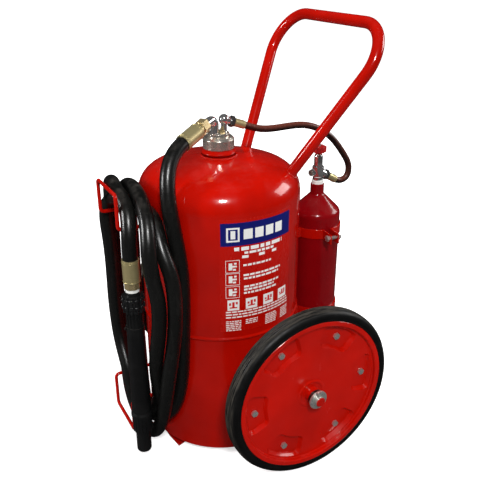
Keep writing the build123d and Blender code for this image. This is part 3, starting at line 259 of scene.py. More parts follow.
def hose_rubber(name, base, bloom, rough, wrap_pitch, wrap_bump, top=None):
    """Wrapped hose cover: the cloth wrap leaves fine bands around and a weave between them. If top
    is given, a painted highlight tints the side that looks up.
    """
    s = Shader(name, specular=0.42)
    split = s.add("ShaderNodeSeparateXYZ")
    s.link(s.coords.outputs["UV"], split.inputs[0])
    band = s.math("MULTIPLY", split.outputs["Y"], 2 * math.pi / wrap_pitch)
    lean = s.math("MULTIPLY", split.outputs["X"], 4 * math.pi)
    ring = s.math("SINE", s.math("ADD", band, lean))
    weave_a = s.math("SINE", s.math("MULTIPLY", split.outputs["X"], 2 * math.pi * WEAVE_COUNT))
    weave_b = s.math("SINE", s.math("MULTIPLY", split.outputs["Y"], 2 * math.pi / WEAVE_PITCH))
    weave = s.math("MULTIPLY", weave_a, weave_b)
    patch = s.span(s.noise(14.0, 6.0, (1, 1, 0.35)), 0.40, 0.70)
    scuff = s.span(s.noise(75.0, 7.0, (1, 1, 0.25), 0.7), 0.56, 0.72)
    colour = s.mix(s.math("MULTIPLY", patch, 0.5), base, bloom)
    colour = s.mix(s.math("MULTIPLY", scuff, 0.12), colour, HOSE_SCUFF)
    colour = s.dusty(colour, 50.0, 0.12)
    if top:  # painted highlight: red-brown reflected light painted on the side that looks up
        colour = s.mix(s.upward(-0.35, 0.75), colour, top)
    haze = s.span(s.noise(130.0, 3.0), 0.3, 0.7, rough * 0.9, rough * 1.15)
    haze = s.math("ADD", haze, s.math("MULTIPLY", scuff, 0.08))
    s.bump(weave, wrap_bump * 0.4, 0.0001)
    s.bump(ring, wrap_bump, 0.00012)
    s.bump(s.noise(700.0, 2.0), 0.05, 0.0001)
    return s.done(colour, haze)


def tyre_rubber(name, centre_y, centre_z, tread_r):
    """Black sidewall, and grey-brown streaks run around the tread where it meets the floor."""
    s = Shader(name, specular=0.25)
    split = s.add("ShaderNodeSeparateXYZ")
    s.link(s.coords.outputs["Object"], split.inputs[0])
    dy = s.math("SUBTRACT", split.outputs["Y"], centre_y)
    dz = s.math("SUBTRACT", split.outputs["Z"], centre_z)
    squares = s.math("ADD", s.math("MULTIPLY", dy, dy), s.math("MULTIPLY", dz, dz))
    radius = s.math("SQRT", squares)
    tread = s.span(radius, tread_r - 0.0060, tread_r - 0.0008)
    patch = s.span(s.noise(26.0, 6.0), 0.40, 0.70)
    black, bloom = (0.0025, 0.0025, 0.0026), (0.007, 0.0068, 0.0065)
    colour = s.mix(s.math("MULTIPLY", patch, 0.6), black, bloom)
    dirt = s.math("MULTIPLY", tread, s.span(s.noise(30.0, 5.0, (11, 0.8, 0.8), 0.6), 0.42, 0.62))
    colour = s.mix(s.math("MULTIPLY", dirt, 0.55), colour, ROAD_DIRT)
    haze = s.span(s.noise(110.0, 5.0), 0.3, 0.7, 0.36, 0.50)
    haze = s.math("ADD", haze, s.math("MULTIPLY", dirt, 0.3))
    s.bump(s.noise(520.0, 4.0), 0.22, 0.0005)
    return s.done(colour, haze)


RED = (0.47, 0.0040, 0.0004)
RED_DEEP = (0.34, 0.0028, 0.0003)
MATERIALS = {
    "red_paint": paint(
        "red_enamel",
        base=RED,
        deep=RED_DEEP,
        rough=0.20,
        coat=0.75,
        dust=0.03,
        peel=0.05,
        chip=0.35,
    ),
    "wheel_paint": paint(
        "wheel_enamel",
        base=(0.56, 0.0050, 0.0006),
        deep=(0.42, 0.0036, 0.0004),
        rough=0.22,
        coat=0.6,
        dust=0.05,
        peel=0.06,
        chip=0.3,
    ),
    "bottle_paint": paint(
        "bottle_enamel",
        base=(0.235, 0.0012, 0.0036),
        deep=(0.17, 0.0009, 0.0026),
        rough=0.22,
        coat=0.6,
        dust=0.05,
        peel=0.06,
        chip=0.4,
    ),
    "label_film": paint(
        "label_film",
        base=(0.47, 0.0045, 0.0006),
        deep=(0.39, 0.0035, 0.0005),
        rough=0.28,
        coat=0.25,
        dust=0.03,
        peel=0.02,
    ),
    "black_rubber": rubber(
        "moulded_rubber",
        base=(0.015, 0.015, 0.015),
        bloom=(0.04, 0.038, 0.036),
        rough=0.5,
        grain=700.0,
        bump=0.2,
    ),
    "tyre_rubber": tyre_rubber(
        "tyre_rubber",
        centre_y=AXLE_Y,
        centre_z=AXLE_Z,
        tread_r=TYRE_R,
    ),
    "hose_rubber": hose_rubber(
        "hose_cover",
        base=(0.004, 0.004, 0.0037),
        bloom=(0.008, 0.0078, 0.0070),
        rough=0.29,
        wrap_pitch=0.0046,
        wrap_bump=0.07,
    ),
    "gas_hose_rubber": hose_rubber(
        "gas_hose_cover",
        base=(0.006, 0.004, 0.003),
        bloom=(0.012, 0.007, 0.006),
        rough=0.26,
        wrap_pitch=0.0024,
        wrap_bump=0.08,
        # painted highlight: red-brown reflected light on the upper side of the gas hose, black
        # below
        top=(0.11, 0.028, 0.018),
    ),
    "black_plastic": rubber(
        "black_plastic",
        base=(0.004, 0.004, 0.0042),
        bloom=(0.010, 0.010, 0.010),
        rough=0.34,
        grain=1400.0,
        bump=0.14,
        dust=0.2,
    ),
    "black_gloss": rubber(
        "black_gloss_plastic",
        base=(0.006, 0.006, 0.0065),
        bloom=(0.012, 0.012, 0.012),
        rough=0.12,
        grain=900.0,
        bump=0.03,
        dust=0.05,
    ),
    "red_plastic": rubber(
        "red_plastic",
        base=(0.55, 0.008, 0.008),
        bloom=(0.42, 0.006, 0.006),
        rough=0.34,
        grain=1200.0,
        bump=0.10,
        dust=0.1,
    ),
    "white_plastic": rubber(
        "white_plastic",
        base=(0.82, 0.82, 0.79),
        bloom=(0.66, 0.65, 0.60),
        rough=0.40,
        grain=900.0,
        bump=0.08,
        dust=0.15,
    ),
    "nickel": metal(
        "nickel_plate",
        base=(0.74, 0.68, 0.60),
        stain=(0.46, 0.41, 0.35),
        rough=0.20,
        grain=260.0,
        stretch=(0.3, 0.3, 3),
        tarnish=0.15,
        bump=0.03,
        satin=0.14,
    ),
    "bare_steel": metal(
        "zinc_plate",
        base=(0.70, 0.70, 0.66),
        stain=(0.42, 0.41, 0.38),
        rough=0.28,
        grain=420.0,
        stretch=(2, 1, 1),
        tarnish=0.4,
        bump=0.06,
    ),
    "dark_steel": metal(
        "black_oxide",
        base=(0.10, 0.10, 0.10),
        stain=(0.05, 0.045, 0.04),
        rough=0.38,
        grain=420.0,
    ),
    "chrome": metal(
        "chrome_plate",
        base=(0.80, 0.80, 0.80),
        stain=(0.56, 0.55, 0.53),
        rough=0.10,
        grain=300.0,
        tarnish=0.3,
        bump=0.03,
        satin=0.08,
    ),
    "brass": metal(
        "turned_brass",
        base=(0.64, 0.51, 0.27),
        stain=(0.48, 0.37, 0.18),
        rough=0.26,
        grain=340.0,
        stretch=(0.4, 0.4, 3),
        tarnish=0.3,
        bump=0.04,
    ),
    "yellow_zinc": metal(
        "yellow_zinc",
        base=(0.52, 0.44, 0.22),
        stain=(0.38, 0.32, 0.16),
        rough=0.32,
        grain=340.0,
        stretch=(0.4, 0.4, 3),
        tarnish=0.3,
        bump=0.03,
        satin=0.3,
    ),
}
WHITE_INK = rubber(
    "label_white_ink",
    base=(0.80, 0.80, 0.78),
    bloom=(0.68, 0.67, 0.64),
    rough=0.42,
    grain=1500.0,
    bump=0.05,
    dust=0.1,
)
BLUE_INK = rubber(
    "label_blue_ink",
    base=(0.0015, 0.005, 0.13),
    bloom=(0.001, 0.004, 0.11),
    rough=0.36,
    grain=1500.0,
    bump=0.05,
    dust=0.1,
)
RED_INK = rubber(
    "label_red_ink",
    base=(0.55, 0.010, 0.008),
    bloom=(0.45, 0.008, 0.006),
    rough=0.40,
    grain=1500.0,
    bump=0.05,
    dust=0.1,
)

for part in RECORD["subparts"]:
    mesh = NODES[part["node"]].data
    mesh.materials.clear()
    mesh.materials.append(MATERIALS[part["material_slot"]])
knob = NODES["nozzle_knob"].data  # polished plastic, unlike the rest of the nozzle
knob.materials.clear()
knob.materials.append(MATERIALS["black_gloss"])


# ---------------------------------------------------------------- mesh helpers


def finish_piece(name, vertices, faces, material, body, smooth=True, uvs=None):
    """Mesh object that rides on a body."""
    mesh = bpy.data.meshes.new(name)
    mesh.from_pydata([tuple(v) for v in vertices], [], faces)
    mesh.validate()
    mesh.materials.append(material)
    if uvs is not None:
        layer = mesh.uv_layers.new(name="run")
        corner = np.empty(len(mesh.loops), dtype=np.int32)
        mesh.loops.foreach_get("vertex_index", corner)
        layer.data.foreach_set("uv", np.asarray(uvs, dtype=np.float32)[corner].ravel())
    mesh.polygons.foreach_set("use_smooth", [smooth] * len(mesh.polygons))
    piece = bpy.data.objects.new(name, mesh)
    bpy.context.scene.collection.objects.link(piece)
    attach(piece, body)
    return piece


def transport(path):
    """Tangents and a twist-free pair of normals along a path."""
    tangent = np.gradient(path, axis=0)
    tangent /= np.linalg.norm(tangent, axis=1)[:, None]
    seed = np.array([1.0, 0.0, 0.0])
    if abs(tangent[0] @ seed) > 0.9:
        seed = np.array([0.0, 0.0, 1.0])
    normal = np.empty_like(path)
    current = seed - (seed @ tangent[0]) * tangent[0]
    for index, direction in enumerate(tangent):
        current = current - (current @ direction) * direction
        current = current / np.linalg.norm(current)
        normal[index] = current
    return tangent, normal, np.cross(tangent, normal)


def tube_mesh(path, radius, sides, closed=False, swell=None):
    """Vertices, faces and UVs of a tube; swell(distance, angle) scales its radius."""
    path = np.asarray(path, dtype=float)
    if closed:
        around = np.vstack((path[-1:], path, path[:1]))
        tangent = around[2:] - around[:-2]
        tangent /= np.linalg.norm(tangent, axis=1)[:, None]
        up = np.array([0.0, 0.0, 1.0])
        normal = up - (tangent @ up)[:, None] * tangent
        lengths = np.linalg.norm(normal, axis=1)
        if lengths.min() < 0.2:
            up = np.array([0.6, 0.8, 0.0])
            normal = up - (tangent @ up)[:, None] * tangent
            lengths = np.linalg.norm(normal, axis=1)
        normal /= lengths[:, None]
        side = np.cross(tangent, normal)
    else:
        tangent, normal, side = transport(path)
    step = np.linalg.norm(np.diff(path, axis=0), axis=1)
    run = np.concatenate(([0.0], np.cumsum(step)))
    angle = np.arange(sides) * 2 * math.pi / sides
    count = len(path)
    vertices, uvs = [], []
    for ring in range(count):
        for turn in angle:
            r = radius * (swell(run[ring], turn) if swell else 1.0)
            offset = math.cos(turn) * normal[ring] + math.sin(turn) * side[ring]
            vertices.append(path[ring] + r * offset)
            uvs.append((turn / (2 * math.pi), run[ring]))
    faces = []
    last = count if closed else count - 1
    for ring in range(last):
        here = ring * sides
        there = ((ring + 1) % count) * sides
        for k in range(sides):
            m = (k + 1) % sides
            faces.append((here + k, here + m, there + m, there + k))
    if not closed:
        faces.append(tuple(range(sides - 1, -1, -1)))
        end = (count - 1) * sides
        faces.append(tuple(range(end, end + sides)))
    return vertices, faces, uvs


def join(parts):
    """Several (vertices, faces, uvs) sets as one."""
    vertices, faces, uvs = [], [], []
    for some_vertices, some_faces, some_uvs in parts:
        base = len(vertices)
        vertices += list(some_vertices)
        uvs += list(some_uvs)
        faces += [tuple(base + index for index in face) for face in some_faces]
    return vertices, faces, uvs


def clamped_spline(points, start, end, step):
    """Smooth curve through points with unit end tangents, timed by chord length."""
    points = np.asarray(points, dtype=float)
    chord = np.linalg.norm(np.diff(points, axis=0), axis=1)
    count = len(points)
    matrix = np.zeros((count, count))
    known = np.zeros((count, 3))
    matrix[0, 0] = matrix[-1, -1] = 1.0
    known[0] = np.asarray(start) / np.linalg.norm(start)
    known[-1] = np.asarray(end) / np.linalg.norm(end)
    for i in range(1, count - 1):
        before, after = chord[i - 1], chord[i]
        matrix[i, i - 1] = after
        matrix[i, i] = 2 * (before + after)
        matrix[i, i + 1] = before
        rise = after * (points[i] - points[i - 1]) / before
        rise += before * (points[i + 1] - points[i]) / after
        known[i] = 3 * rise
    slope = np.linalg.solve(matrix, known)
    path = []
    for i in range(count - 1):
        pieces = max(2, int(math.ceil(chord[i] / step)))
        t = np.arange(pieces)[:, None] / pieces
        a = 2 * t**3 - 3 * t**2 + 1
        b = (t**3 - 2 * t**2 + t) * chord[i]
        c = -2 * t**3 + 3 * t**2
        d = (t**3 - t**2) * chord[i]
        path.append(a * points[i] + b * slope[i] + c * points[i + 1] + d * slope[i + 1])
    path.append(points[-1:])
    return np.vstack(path)


def straight(a, b, step):
    """Points on a line, both ends included."""
    a, b = np.asarray(a, dtype=float), np.asarray(b, dtype=float)
    pieces = max(2, int(np.linalg.norm(b - a) / step))
    t = np.arange(pieces + 1)[:, None] / pieces
    return a + (b - a) * t


def lathe(profile, centre, axis, side_axis, segments, wobble=None):
    """Closed profile of (radius, distance along the axis) turned about the axis."""
    centre, axis, side_axis = Vector(centre), Vector(axis), Vector(side_axis)
    other = axis.cross(side_axis)
    vertices, faces, uvs = [], [], []
    rows = len(profile)
    for s in range(segments):
        turn = 2 * math.pi * s / segments
        out = side_axis * math.cos(turn) + other * math.sin(turn)
        for row, (r, x) in enumerate(profile):
            grow = wobble(turn, r, x) if wobble else 0.0
            vertices.append(centre + out * (r + grow) + axis * x)
            uvs.append((s / segments, row / rows))
    for s in range(segments):
        here, there = s * rows, ((s + 1) % segments) * rows
        for row in range(rows):
            nxt = (row + 1) % rows
            faces.append((here + row, here + nxt, there + nxt, there + row))
    return vertices, faces, uvs


def surface_of(*names):
    """Ray-cast tree of some CAD nodes."""
    vertices, faces = [], []
    for name in names:
        mesh = NODES[name].data
        base = len(vertices)
        vertices += [v.co.copy() for v in mesh.vertices]
        faces += [tuple(base + i for i in p.vertices) for p in mesh.polygons]
    return BVHTree.FromPolygons(vertices, faces)


# ---------------------------------------------------------------- discharge hose

# The discharge elbow turns aside from the front by TURN and its mouth drops by TILT.
TILT = math.radians(17.5)
TURN = math.radians(27.0)
DISCHARGE_DIR = np.array(
    (math.sin(TURN) * math.cos(TILT), -math.cos(TURN) * math.cos(TILT), -math.sin(TILT))
)
CORNER = np.array((0.0135 * math.sin(TURN), -0.0135 * math.cos(TURN), 0.756))
DOWN = np.array((0.0, 0.0, -1.0))
NOZZLE = np.array((0.0852, -0.2449, 0.0))
HOSE_ROOT, HOSE_MOUTH = 0.065, 0.112  # inside and at the lip of the first ferrule
HOSE_TAIL_Z, HOSE_FINISH_Z = 0.5096, 0.4626  # at the lip and inside of the last ferrule
HOSE_RUN = [  # millimetres: down the side, then three loops over the hooks to the nozzle
    (74, -141, 700),
    (98, -162, 650),
    (114, -162, 582),
    (125, -153, 490),
    (126, -154, 330),
    (117, -160, 200),
    (83, -179, 101),
    (0, -198, 59),
    (-84, -182, 92),
    (-132, -168, 230),
    (-135, -166, 380),
    (-120, -172, 520),
    (-64, -195, 609),
    (0, -201, 629),
    (62, -205, 617),
    (113, -214, 574),
    (131, -221, 530),
    (133, -217, 480),
    (136, -210, 430),
    (127, -214, 310),
    (103, -210, 228),
    (91, -203, 170),
    (72, -205, 124),
    (56, -217, 95),
    (29, -224, 84),
    (1, -230, 95),
    (-12, -233, 124),
    (-26, -234, 168),
    (-62, -234, 220),
    (-84, -235, 340),
    (-86, -235, 490),
    (-83, -235, 562),
    (-58, -228, 591),
    (0, -211, 594),
    (62, -189, 586),
    (120, -189, 530),
    (141, -183, 490),
    (150, -179, 430),
    (145, -186, 310),
    (135, -198, 215),
    (113, -203, 130),
    (63, -211, 46),
    (0, -213, 27),
    (-66, -216, 54),
    (-118, -210, 160),
    (-118, -217, 340),
    (-117, -216, 500),
    (-113, -216, 568),
    (-62, -227, 626),
    (0, -236, 629),
    (56, -235, 601),
    (82.2, -242.9, 555),
]
hose_root = CORNER + DISCHARGE_DIR * HOSE_ROOT
hose_mouth = CORNER + DISCHARGE_DIR * HOSE_MOUTH
hose_tail = NOZZLE + np.array((0, 0, HOSE_TAIL_Z))
hose_finish = NOZZLE + np.array((0, 0, HOSE_FINISH_Z))
bends = [hose_mouth] + [np.array(p) * MM for p in HOSE_RUN] + [hose_tail]
hose_path = np.vstack(
    (
        straight(hose_root, hose_mouth, 0.004)[:-1],
        clamped_spline(bends, DISCHARGE_DIR, DOWN, 0.005)[:-1],
        straight(hose_tail, hose_finish, 0.004),
    )
)


def hose_swell(run, turn):
    """Slight waviness of a wrapped and vulcanised cover."""
    wave = 0.0012 * math.sin(run * 41.0 + 2.0 * turn) + 0.0006 * math.sin(run * 97.0 - turn)
    return 1.0 - 0.002 + wave


cover = tube_mesh(hose_path, HOSE_R, 40, swell=hose_swell)
hose_cover = finish_piece(
    "discharge_hose_cover", cover[0], cover[1], MATERIALS["hose_rubber"], "trolley", uvs=cover[2]
)
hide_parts("discharge_hose")

# ---------------------------------------------------------------- gas hose

INLET_CORNER = np.array((0.0, 0.0135, 0.7465))
INLET_DIR = np.array((0.0, math.cos(math.radians(20)), -math.sin(math.radians(20))))
OUTLET_ORIGIN = np.array((0.0, 0.265, 0.593))
OUTLET_DIR = np.array((0.0, math.cos(math.radians(30)), -math.sin(math.radians(30))))
INLET_START, INLET_LIP = 0.027, 0.052  # hose inside and at the lip of its first ferrule
OUTLET_START, OUTLET_LIP = 0.034, 0.059
GAS_RUN = [  # millimetres
    (0, 100, 716),
    (0, 165, 712),
    (0, 222, 709),
    (0, 270, 691),
    (0, 307, 662),
    (0, 338, 624),
    (0, 356, 588),
    (0, 350, 564),
    (0, 332, 558),
]
gas_exit = INLET_CORNER + INLET_DIR * INLET_LIP
gas_return = OUTLET_ORIGIN + OUTLET_DIR * OUTLET_LIP
bends = [gas_exit] + [np.array(p) * MM for p in GAS_RUN] + [gas_return]
gas_path = np.vstack(
    (
        straight(INLET_CORNER + INLET_DIR * INLET_START, gas_exit, 0.002)[:-1],
        clamped_spline(bends, INLET_DIR, -OUTLET_DIR, 0.0015)[:-1],
        straight(gas_return, OUTLET_ORIGIN + OUTLET_DIR * OUTLET_START, 0.002),
    )
)


def gas_swell(run, turn):
    """Shallow ribs left by the braid under the cover."""
    return 1.0 - 0.006 + 0.003 * math.sin(run * 2 * math.pi / BRAID_PITCH)


cover = tube_mesh(gas_path, GAS_HOSE_R, 28, swell=gas_swell)
gas_cover = finish_piece(
    "gas_hose_cover", cover[0], cover[1], MATERIALS["gas_hose_rubber"], "trolley", uvs=cover[2]
)
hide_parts("gas_hose")

# ---------------------------------------------------------------- tyres

SIDEWALL = [  # radius and distance from the middle plane, millimetres
    (168.1, 0.0),
    (168.1, 18.3),
    (177.6, 18.3),
    (177.9, 19.6),
    (178.8, 20.4),
    (180.6, 20.5),
    (181.2, 19.9),
    (182.4, 19.7),
    (183.0, 20.2),
    (185.0, 20.4),
    (187.6, 20.35),
    (189.9, 19.9),
    (192.4, 18.8),
    (194.8, 17.0),
    (196.7, 14.9),
    (198.1, 12.5),
    (198.8, 10.4),
]
GROOVES = (7.5, 2.5)  # distance of the tread grooves from the middle plane
half = list(SIDEWALL)
for groove in GROOVES:
    crown = 199.95 - 0.010 * groove * groove  # the tread is slightly domed
    half += [
        (crown, groove + 1.5),
        (crown - 0.25, groove + 1.05),
        (crown - 1.4, groove + 0.65),
        (crown - 1.6, groove),
        (crown - 1.4, groove - 0.65),
        (crown - 0.25, groove - 1.05),
        (crown, groove - 1.5),
    ]
half += [(199.9, 0.0)]
whole = [(r, -x) for r, x in reversed(half[1:])] + half[:1] + half[1:-1]
profile = [(r * MM, x * MM) for r, x in whole]


def tyre_wobble(turn, r, x):
    """Worn, slightly uneven tread."""
    if r < 0.196:
        return 0.0
    return 0.00010 * math.sin(17 * turn) * math.cos(7 * turn + 300 * x) - 0.0001


for side_name, side in (("right", 1), ("left", -1)):
    centre = (side * WHEEL_X, AXLE_Y, AXLE_Z)
    ring = lathe(profile, centre, (1, 0, 0), (0, 1, 0), 288, tyre_wobble)
    tyre = finish_piece(
        f"tyre_body_{side_name}", ring[0], ring[1], MATERIALS["tyre_rubber"], f"wheel_{side_name}"
    )
    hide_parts(f"tyre_{side_name}")

# ---------------------------------------------------------------- label artwork

LINE_AZ, LINE_Z = 0.28, 0.9  # width of a frame line, degrees and millimetres
WORD_GAP = 0.28  # gap between words as a share of a word

def patch(az, z, lift=0.0):
    """Thin curved pad of ink between two azimuths in degrees and two heights in mm."""
    columns = max(2, int(abs(az[1] - az[0]) / 1.2) + 1)
    angles = np.radians(np.linspace(az[0], az[1], columns))
    vertices, uvs = [], []
    for r in (LABEL_R - 0.00002 + lift, LABEL_R + INK + lift):
        for height in z:
            for a in angles:
                vertices.append((r * math.sin(a), -r * math.cos(a), height * MM))
                uvs.append((a, height * MM))
    low_in, high_in = 0, columns
    low_out, high_out = 2 * columns, 3 * columns
    faces = []
    for k in range(columns - 1):
        faces.append((low_out + k, low_out + k + 1, high_out + k + 1, high_out + k))
        faces.append((low_in + k + 1, low_in + k, high_in + k, high_in + k + 1))
        faces.append((high_out + k, high_out + k + 1, high_in + k + 1, high_in + k))
        faces.append((low_out + k + 1, low_out + k, low_in + k, low_in + k + 1))
    end = columns - 1
    faces.append((low_out, high_out, high_in, low_in))
    faces.append((low_out + end, low_in + end, high_in + end, high_out + end))
    return vertices, faces, uvs


def outline(az, z):
    """Thin rectangular frame."""
    return [
        patch((az[0], az[1]), (z[0], z[0] + LINE_Z)),
        patch((az[0], az[1]), (z[1] - LINE_Z, z[1])),
        patch((az[0], az[0] + LINE_AZ), (z[0] + LINE_Z, z[1] - LINE_Z)),
        patch((az[1] - LINE_AZ, az[1]), (z[0] + LINE_Z, z[1] - LINE_Z)),
    ]


def text_row(az, z, height, seed, word=1.9):
    """A row of generic text blocks of uneven length, each about word degrees wide."""
    draw = np.random.default_rng(seed)
    row, here = [], az[0]
    while here < az[1] - 0.5:
        length = min(word * draw.uniform(0.6, 1.7), az[1] - here)
        row.append(patch((here, here + length), (z, z + height)))
        here += length + word * WORD_GAP
    return row


STEP_BOXES = ((470, 500), (441, 470), (411, 440))
STEP_LINES = (  # lower edge, azimuths
    (483.5, (78.8, 100.2)),
    (460.5, (79.0, 108.3)),
    (452.5, (79.2, 106.5)),
    (433.5, (79.3, 107.5)),
    (426.5, (79.3, 102.5)),
    (418.5, (79.3, 105.3)),
)
SQUARES = ((68, 76), (80.6, 89), (93.8, 102.2), (107, 115.4))
SMALL_PRINT = (  # azimuths, heights
    ((66.9, 77.3), (325, 357)),
    ((80.6, 89.5), (344, 357)),
    ((95.8, 105.8), (331.5, 357)),
    ((110, 117.5), (332, 357)),
)


def banner_marks():
    """A framed box and four plain blocks on the blue field."""
    marks = [
        patch((67.6, 76.3), (540, 543.5), INK),
        patch((67.6, 76.3), (567.5, 571), INK),
        patch((67.6, 68.8), (543.5, 567.5), INK),
        patch((75.1, 76.3), (543.5, 567.5), INK),
        patch((70.4, 73.5), (546.5, 564.5), INK),
    ]
    for az in ((79.0, 85.2), (87.0, 93.2), (95.0, 101.2), (103.0, 109.2)):
        marks.append(patch(az, (544, 566), INK))
    return marks


def title_lines():
    """Two rows of large blocks and three short ones under the blue field."""
    lines = text_row((72.7, 109.3), 519.5, 8.0, 11, 4.6)
    lines += text_row((79.6, 102.7), 511.2, 5.0, 12, 3.0)
    for az in ((78, 82.4), (90, 94.4), (100.5, 104.3)):
        lines.append(patch(az, (502, 508)))
    return lines


def step_boxes():
    """Framed boxes with a simple shape each, one above the other."""
    marks = []
    for low, high in STEP_BOXES:
        marks += outline((66.9, 76.3), (low + 0.8, high - 0.8))
        middle = (low + high) / 2
        marks += [
            patch((69.0, 71.4), (middle - 8, middle + 8)),
            patch((71.4, 74.4), (middle - 2, middle + 2)),
            patch((72.6, 74.2), (middle + 4.5, middle + 8.5)),
            patch((71.8, 73.8), (middle - 9, middle - 5)),
        ]
    return marks


def step_lines():
    """Rows of text beside the framed boxes."""
    lines = []
    for number, (z, az) in enumerate(STEP_LINES):
        lines += text_row(az, z, 4.4, 20 + number, 2.6)
    return lines


def square_marks(az, number):
    """A red stem, foot and two side strokes, a little different in each white square."""
    middle = (az[0] + az[1]) / 2
    return [
        patch((middle - 2.6, middle + 2.6), (387 + number, 390 + number), INK),
        patch((middle - 0.8, middle + 0.8), (390 + number, 402), INK),
        patch((middle - 3.0, middle - 1.6), (394, 400 - number), INK),
        patch((middle + 1.6, middle + 3.0), (396 - number, 402), INK),
    ]


def long_lines():
    """Three rows over the full width, under the white squares."""
    lines = []
    for number, z in enumerate((376.5, 370.0, 363.5)):
        lines += text_row((66.9, 117.5), z, 3.0, 40 + number, 2.4)
    return lines


def small_print():
    """Four blocks of fine rows at the foot of the label."""
    lines = []
    for block, (az, z_span) in enumerate(SMALL_PRINT):
        z = z_span[1] - 3.0
        number = 0
        while z > max(z_span[0], 331.5):
            lines += text_row(az, z, 2.3, 60 + 10 * block + number)
            z -= 4.4
            number += 1
    return lines


blue = [patch((63.8, 117.7), (531, 581))]
white = banner_marks() + title_lines() + step_boxes() + step_lines()
white += [patch(az, (382, 407)) for az in SQUARES]
white += long_lines() + small_print()
red_marks = []
for number, az in enumerate(SQUARES):
    red_marks += square_marks(az, number)
for name, shapes, ink in (
    ("label_print_white", white, WHITE_INK),
    ("label_print_blue", blue, BLUE_INK),
    ("label_print_red", red_marks, RED_INK),
):
    art = join(shapes)
    piece = finish_piece(name, art[0], art[1], ink, "trolley", smooth=False)

# ---------------------------------------------------------------- welds and crimps

TANK_SURFACE = surface_of("tank_upper_shell")
LEG_BEAD_R = 0.0019
HOOK_BEAD_R = 0.0013
NECK_BEAD_R, NECK_RIPPLE = 0.0021, 0.0034
SADDLE_BEAD_R, SADDLE_BEAD_HALF = 0.0015, 0.0115
SADDLE_BEAD_X = 0.0226  # just outside the side wall of a bottle saddle
BEAD_STEP = 0.0006
BEAD_SIDES = 10
BEAD_LIFT = 0.0006  # how far a bead's middle stands off the tank


def resample(path, step, closed):
    """Evenly spaced points along a polyline."""
    path = np.asarray(path, dtype=float)
    if closed:
        path = np.vstack((path, path[:1]))
    run = np.concatenate(([0.0], np.cumsum(np.linalg.norm(np.diff(path, axis=0), axis=1))))
    count = max(8, int(run[-1] / step))
    at = np.linspace(0, run[-1], count + 1)
    if closed:
        at = at[:-1]
    return np.stack([np.interp(at, run, path[:, k]) for k in range(3)], axis=1)


def bead(path, radius, closed, pitch=0.0026):
    """Weld bead laid in overlapping ripples."""

    def ripple(run, turn):
        return 1.0 + 0.16 * math.sin(2 * math.pi * run / pitch + 0.9 * math.cos(turn))

    return tube_mesh(resample(path, BEAD_STEP, closed), radius, BEAD_SIDES, closed, ripple)


def circle_turns(count):
    return [2 * math.pi * k / count for k in range(count)]


def leg_weld(side):
    """Bead where a slanting handle leg meets the dome, found by rays along the leg."""
    leg = (Vector(LEG_TOP) - Vector(LEG_FOOT)).normalized()
    foot = Vector((side * LEG_FOOT[0], LEG_FOOT[1], LEG_FOOT[2]))
    axis = Vector((side * leg.x, leg.y, leg.z))
    across = axis.cross(Vector((0, 0, 1))).normalized()
    over = axis.cross(across)
    ring = []
    for turn in circle_turns(72):
        start = foot + axis * 0.08 + (across * math.cos(turn) + over * math.sin(turn)) * LEG_WELD_R
        hit = TANK_SURFACE.ray_cast(start, -axis)[0]
        if hit is not None:
            ring.append(np.array(hit) + np.array(axis) * BEAD_LIFT)
    return bead(ring, LEG_BEAD_R, True)


def hook_weld(side, arm_z):
    """Bead around the root of a hose hook, on the front of the tank."""
    ring = []
    for turn in circle_turns(40):
        x = side * HOOK_ARM_X + HOOK_WELD_R * math.cos(turn)
        z = arm_z + HOOK_WELD_R * math.sin(turn)
        ring.append((x, -math.sqrt(TANK_R**2 - x * x) - BEAD_LIFT, z))
    return bead(ring, HOOK_BEAD_R, True)


def neck_weld():
    """Bead around the neck on top of the dome."""
    ring = [
        (NECK_WELD_R * math.cos(turn), NECK_WELD_R * math.sin(turn), NECK_WELD_Z)
        for turn in circle_turns(120)
    ]
    return bead(ring, NECK_BEAD_R, True, NECK_RIPPLE)


def saddle_weld(x, clamp_z):
    """Upright bead beside a bottle saddle, on the back of the tank."""
    y = math.sqrt(TANK_R**2 - x * x) + 0.0007
    line = [(x, y, clamp_z - SADDLE_BEAD_HALF), (x, y, clamp_z + SADDLE_BEAD_HALF)]
    return bead(line, SADDLE_BEAD_R, False)


beads = [leg_weld(side) for side in (1, -1)]
beads += [hook_weld(side, arm_z) for arm_z in HOOK_HEIGHTS for side in (1, -1)]
beads.append(neck_weld())
for clamp_z in CLAMP_HEIGHTS:
    beads += [saddle_weld(-SADDLE_BEAD_X, clamp_z), saddle_weld(SADDLE_BEAD_X, clamp_z)]
weld = join(beads)
piece = finish_piece("weld_beads", weld[0], weld[1], MATERIALS["red_paint"], "trolley")


RING_SIDES = 10
CRIMP_R, GAS_CRIMP_R = 0.00055, 0.0005
FIRST_CRIMPS = (0.0645, 0.1062, 0.1095)  # along the discharge elbow's outlet
LAST_CRIMPS = (0.4611, 0.5038, 0.5071)  # heights on the ferrule above the nozzle
GAS_CRIMPS = (0.004, 0.022)  # along a ferrule from its start
INLET_FERRULE, OUTLET_FERRULE = 0.024, 0.031  # where the gas ferrules start


def torus(centre, direction, radius, thick, count=96):
    """Closed ring of round section."""
    direction = Vector(direction).normalized()
    across = direction.orthogonal().normalized()
    circle = [
        (radius + thick * math.cos(a), thick * math.sin(a))
        for a in np.arange(RING_SIDES) * 2 * math.pi / RING_SIDES
    ]
    return lathe(circle, centre, direction, across, count)


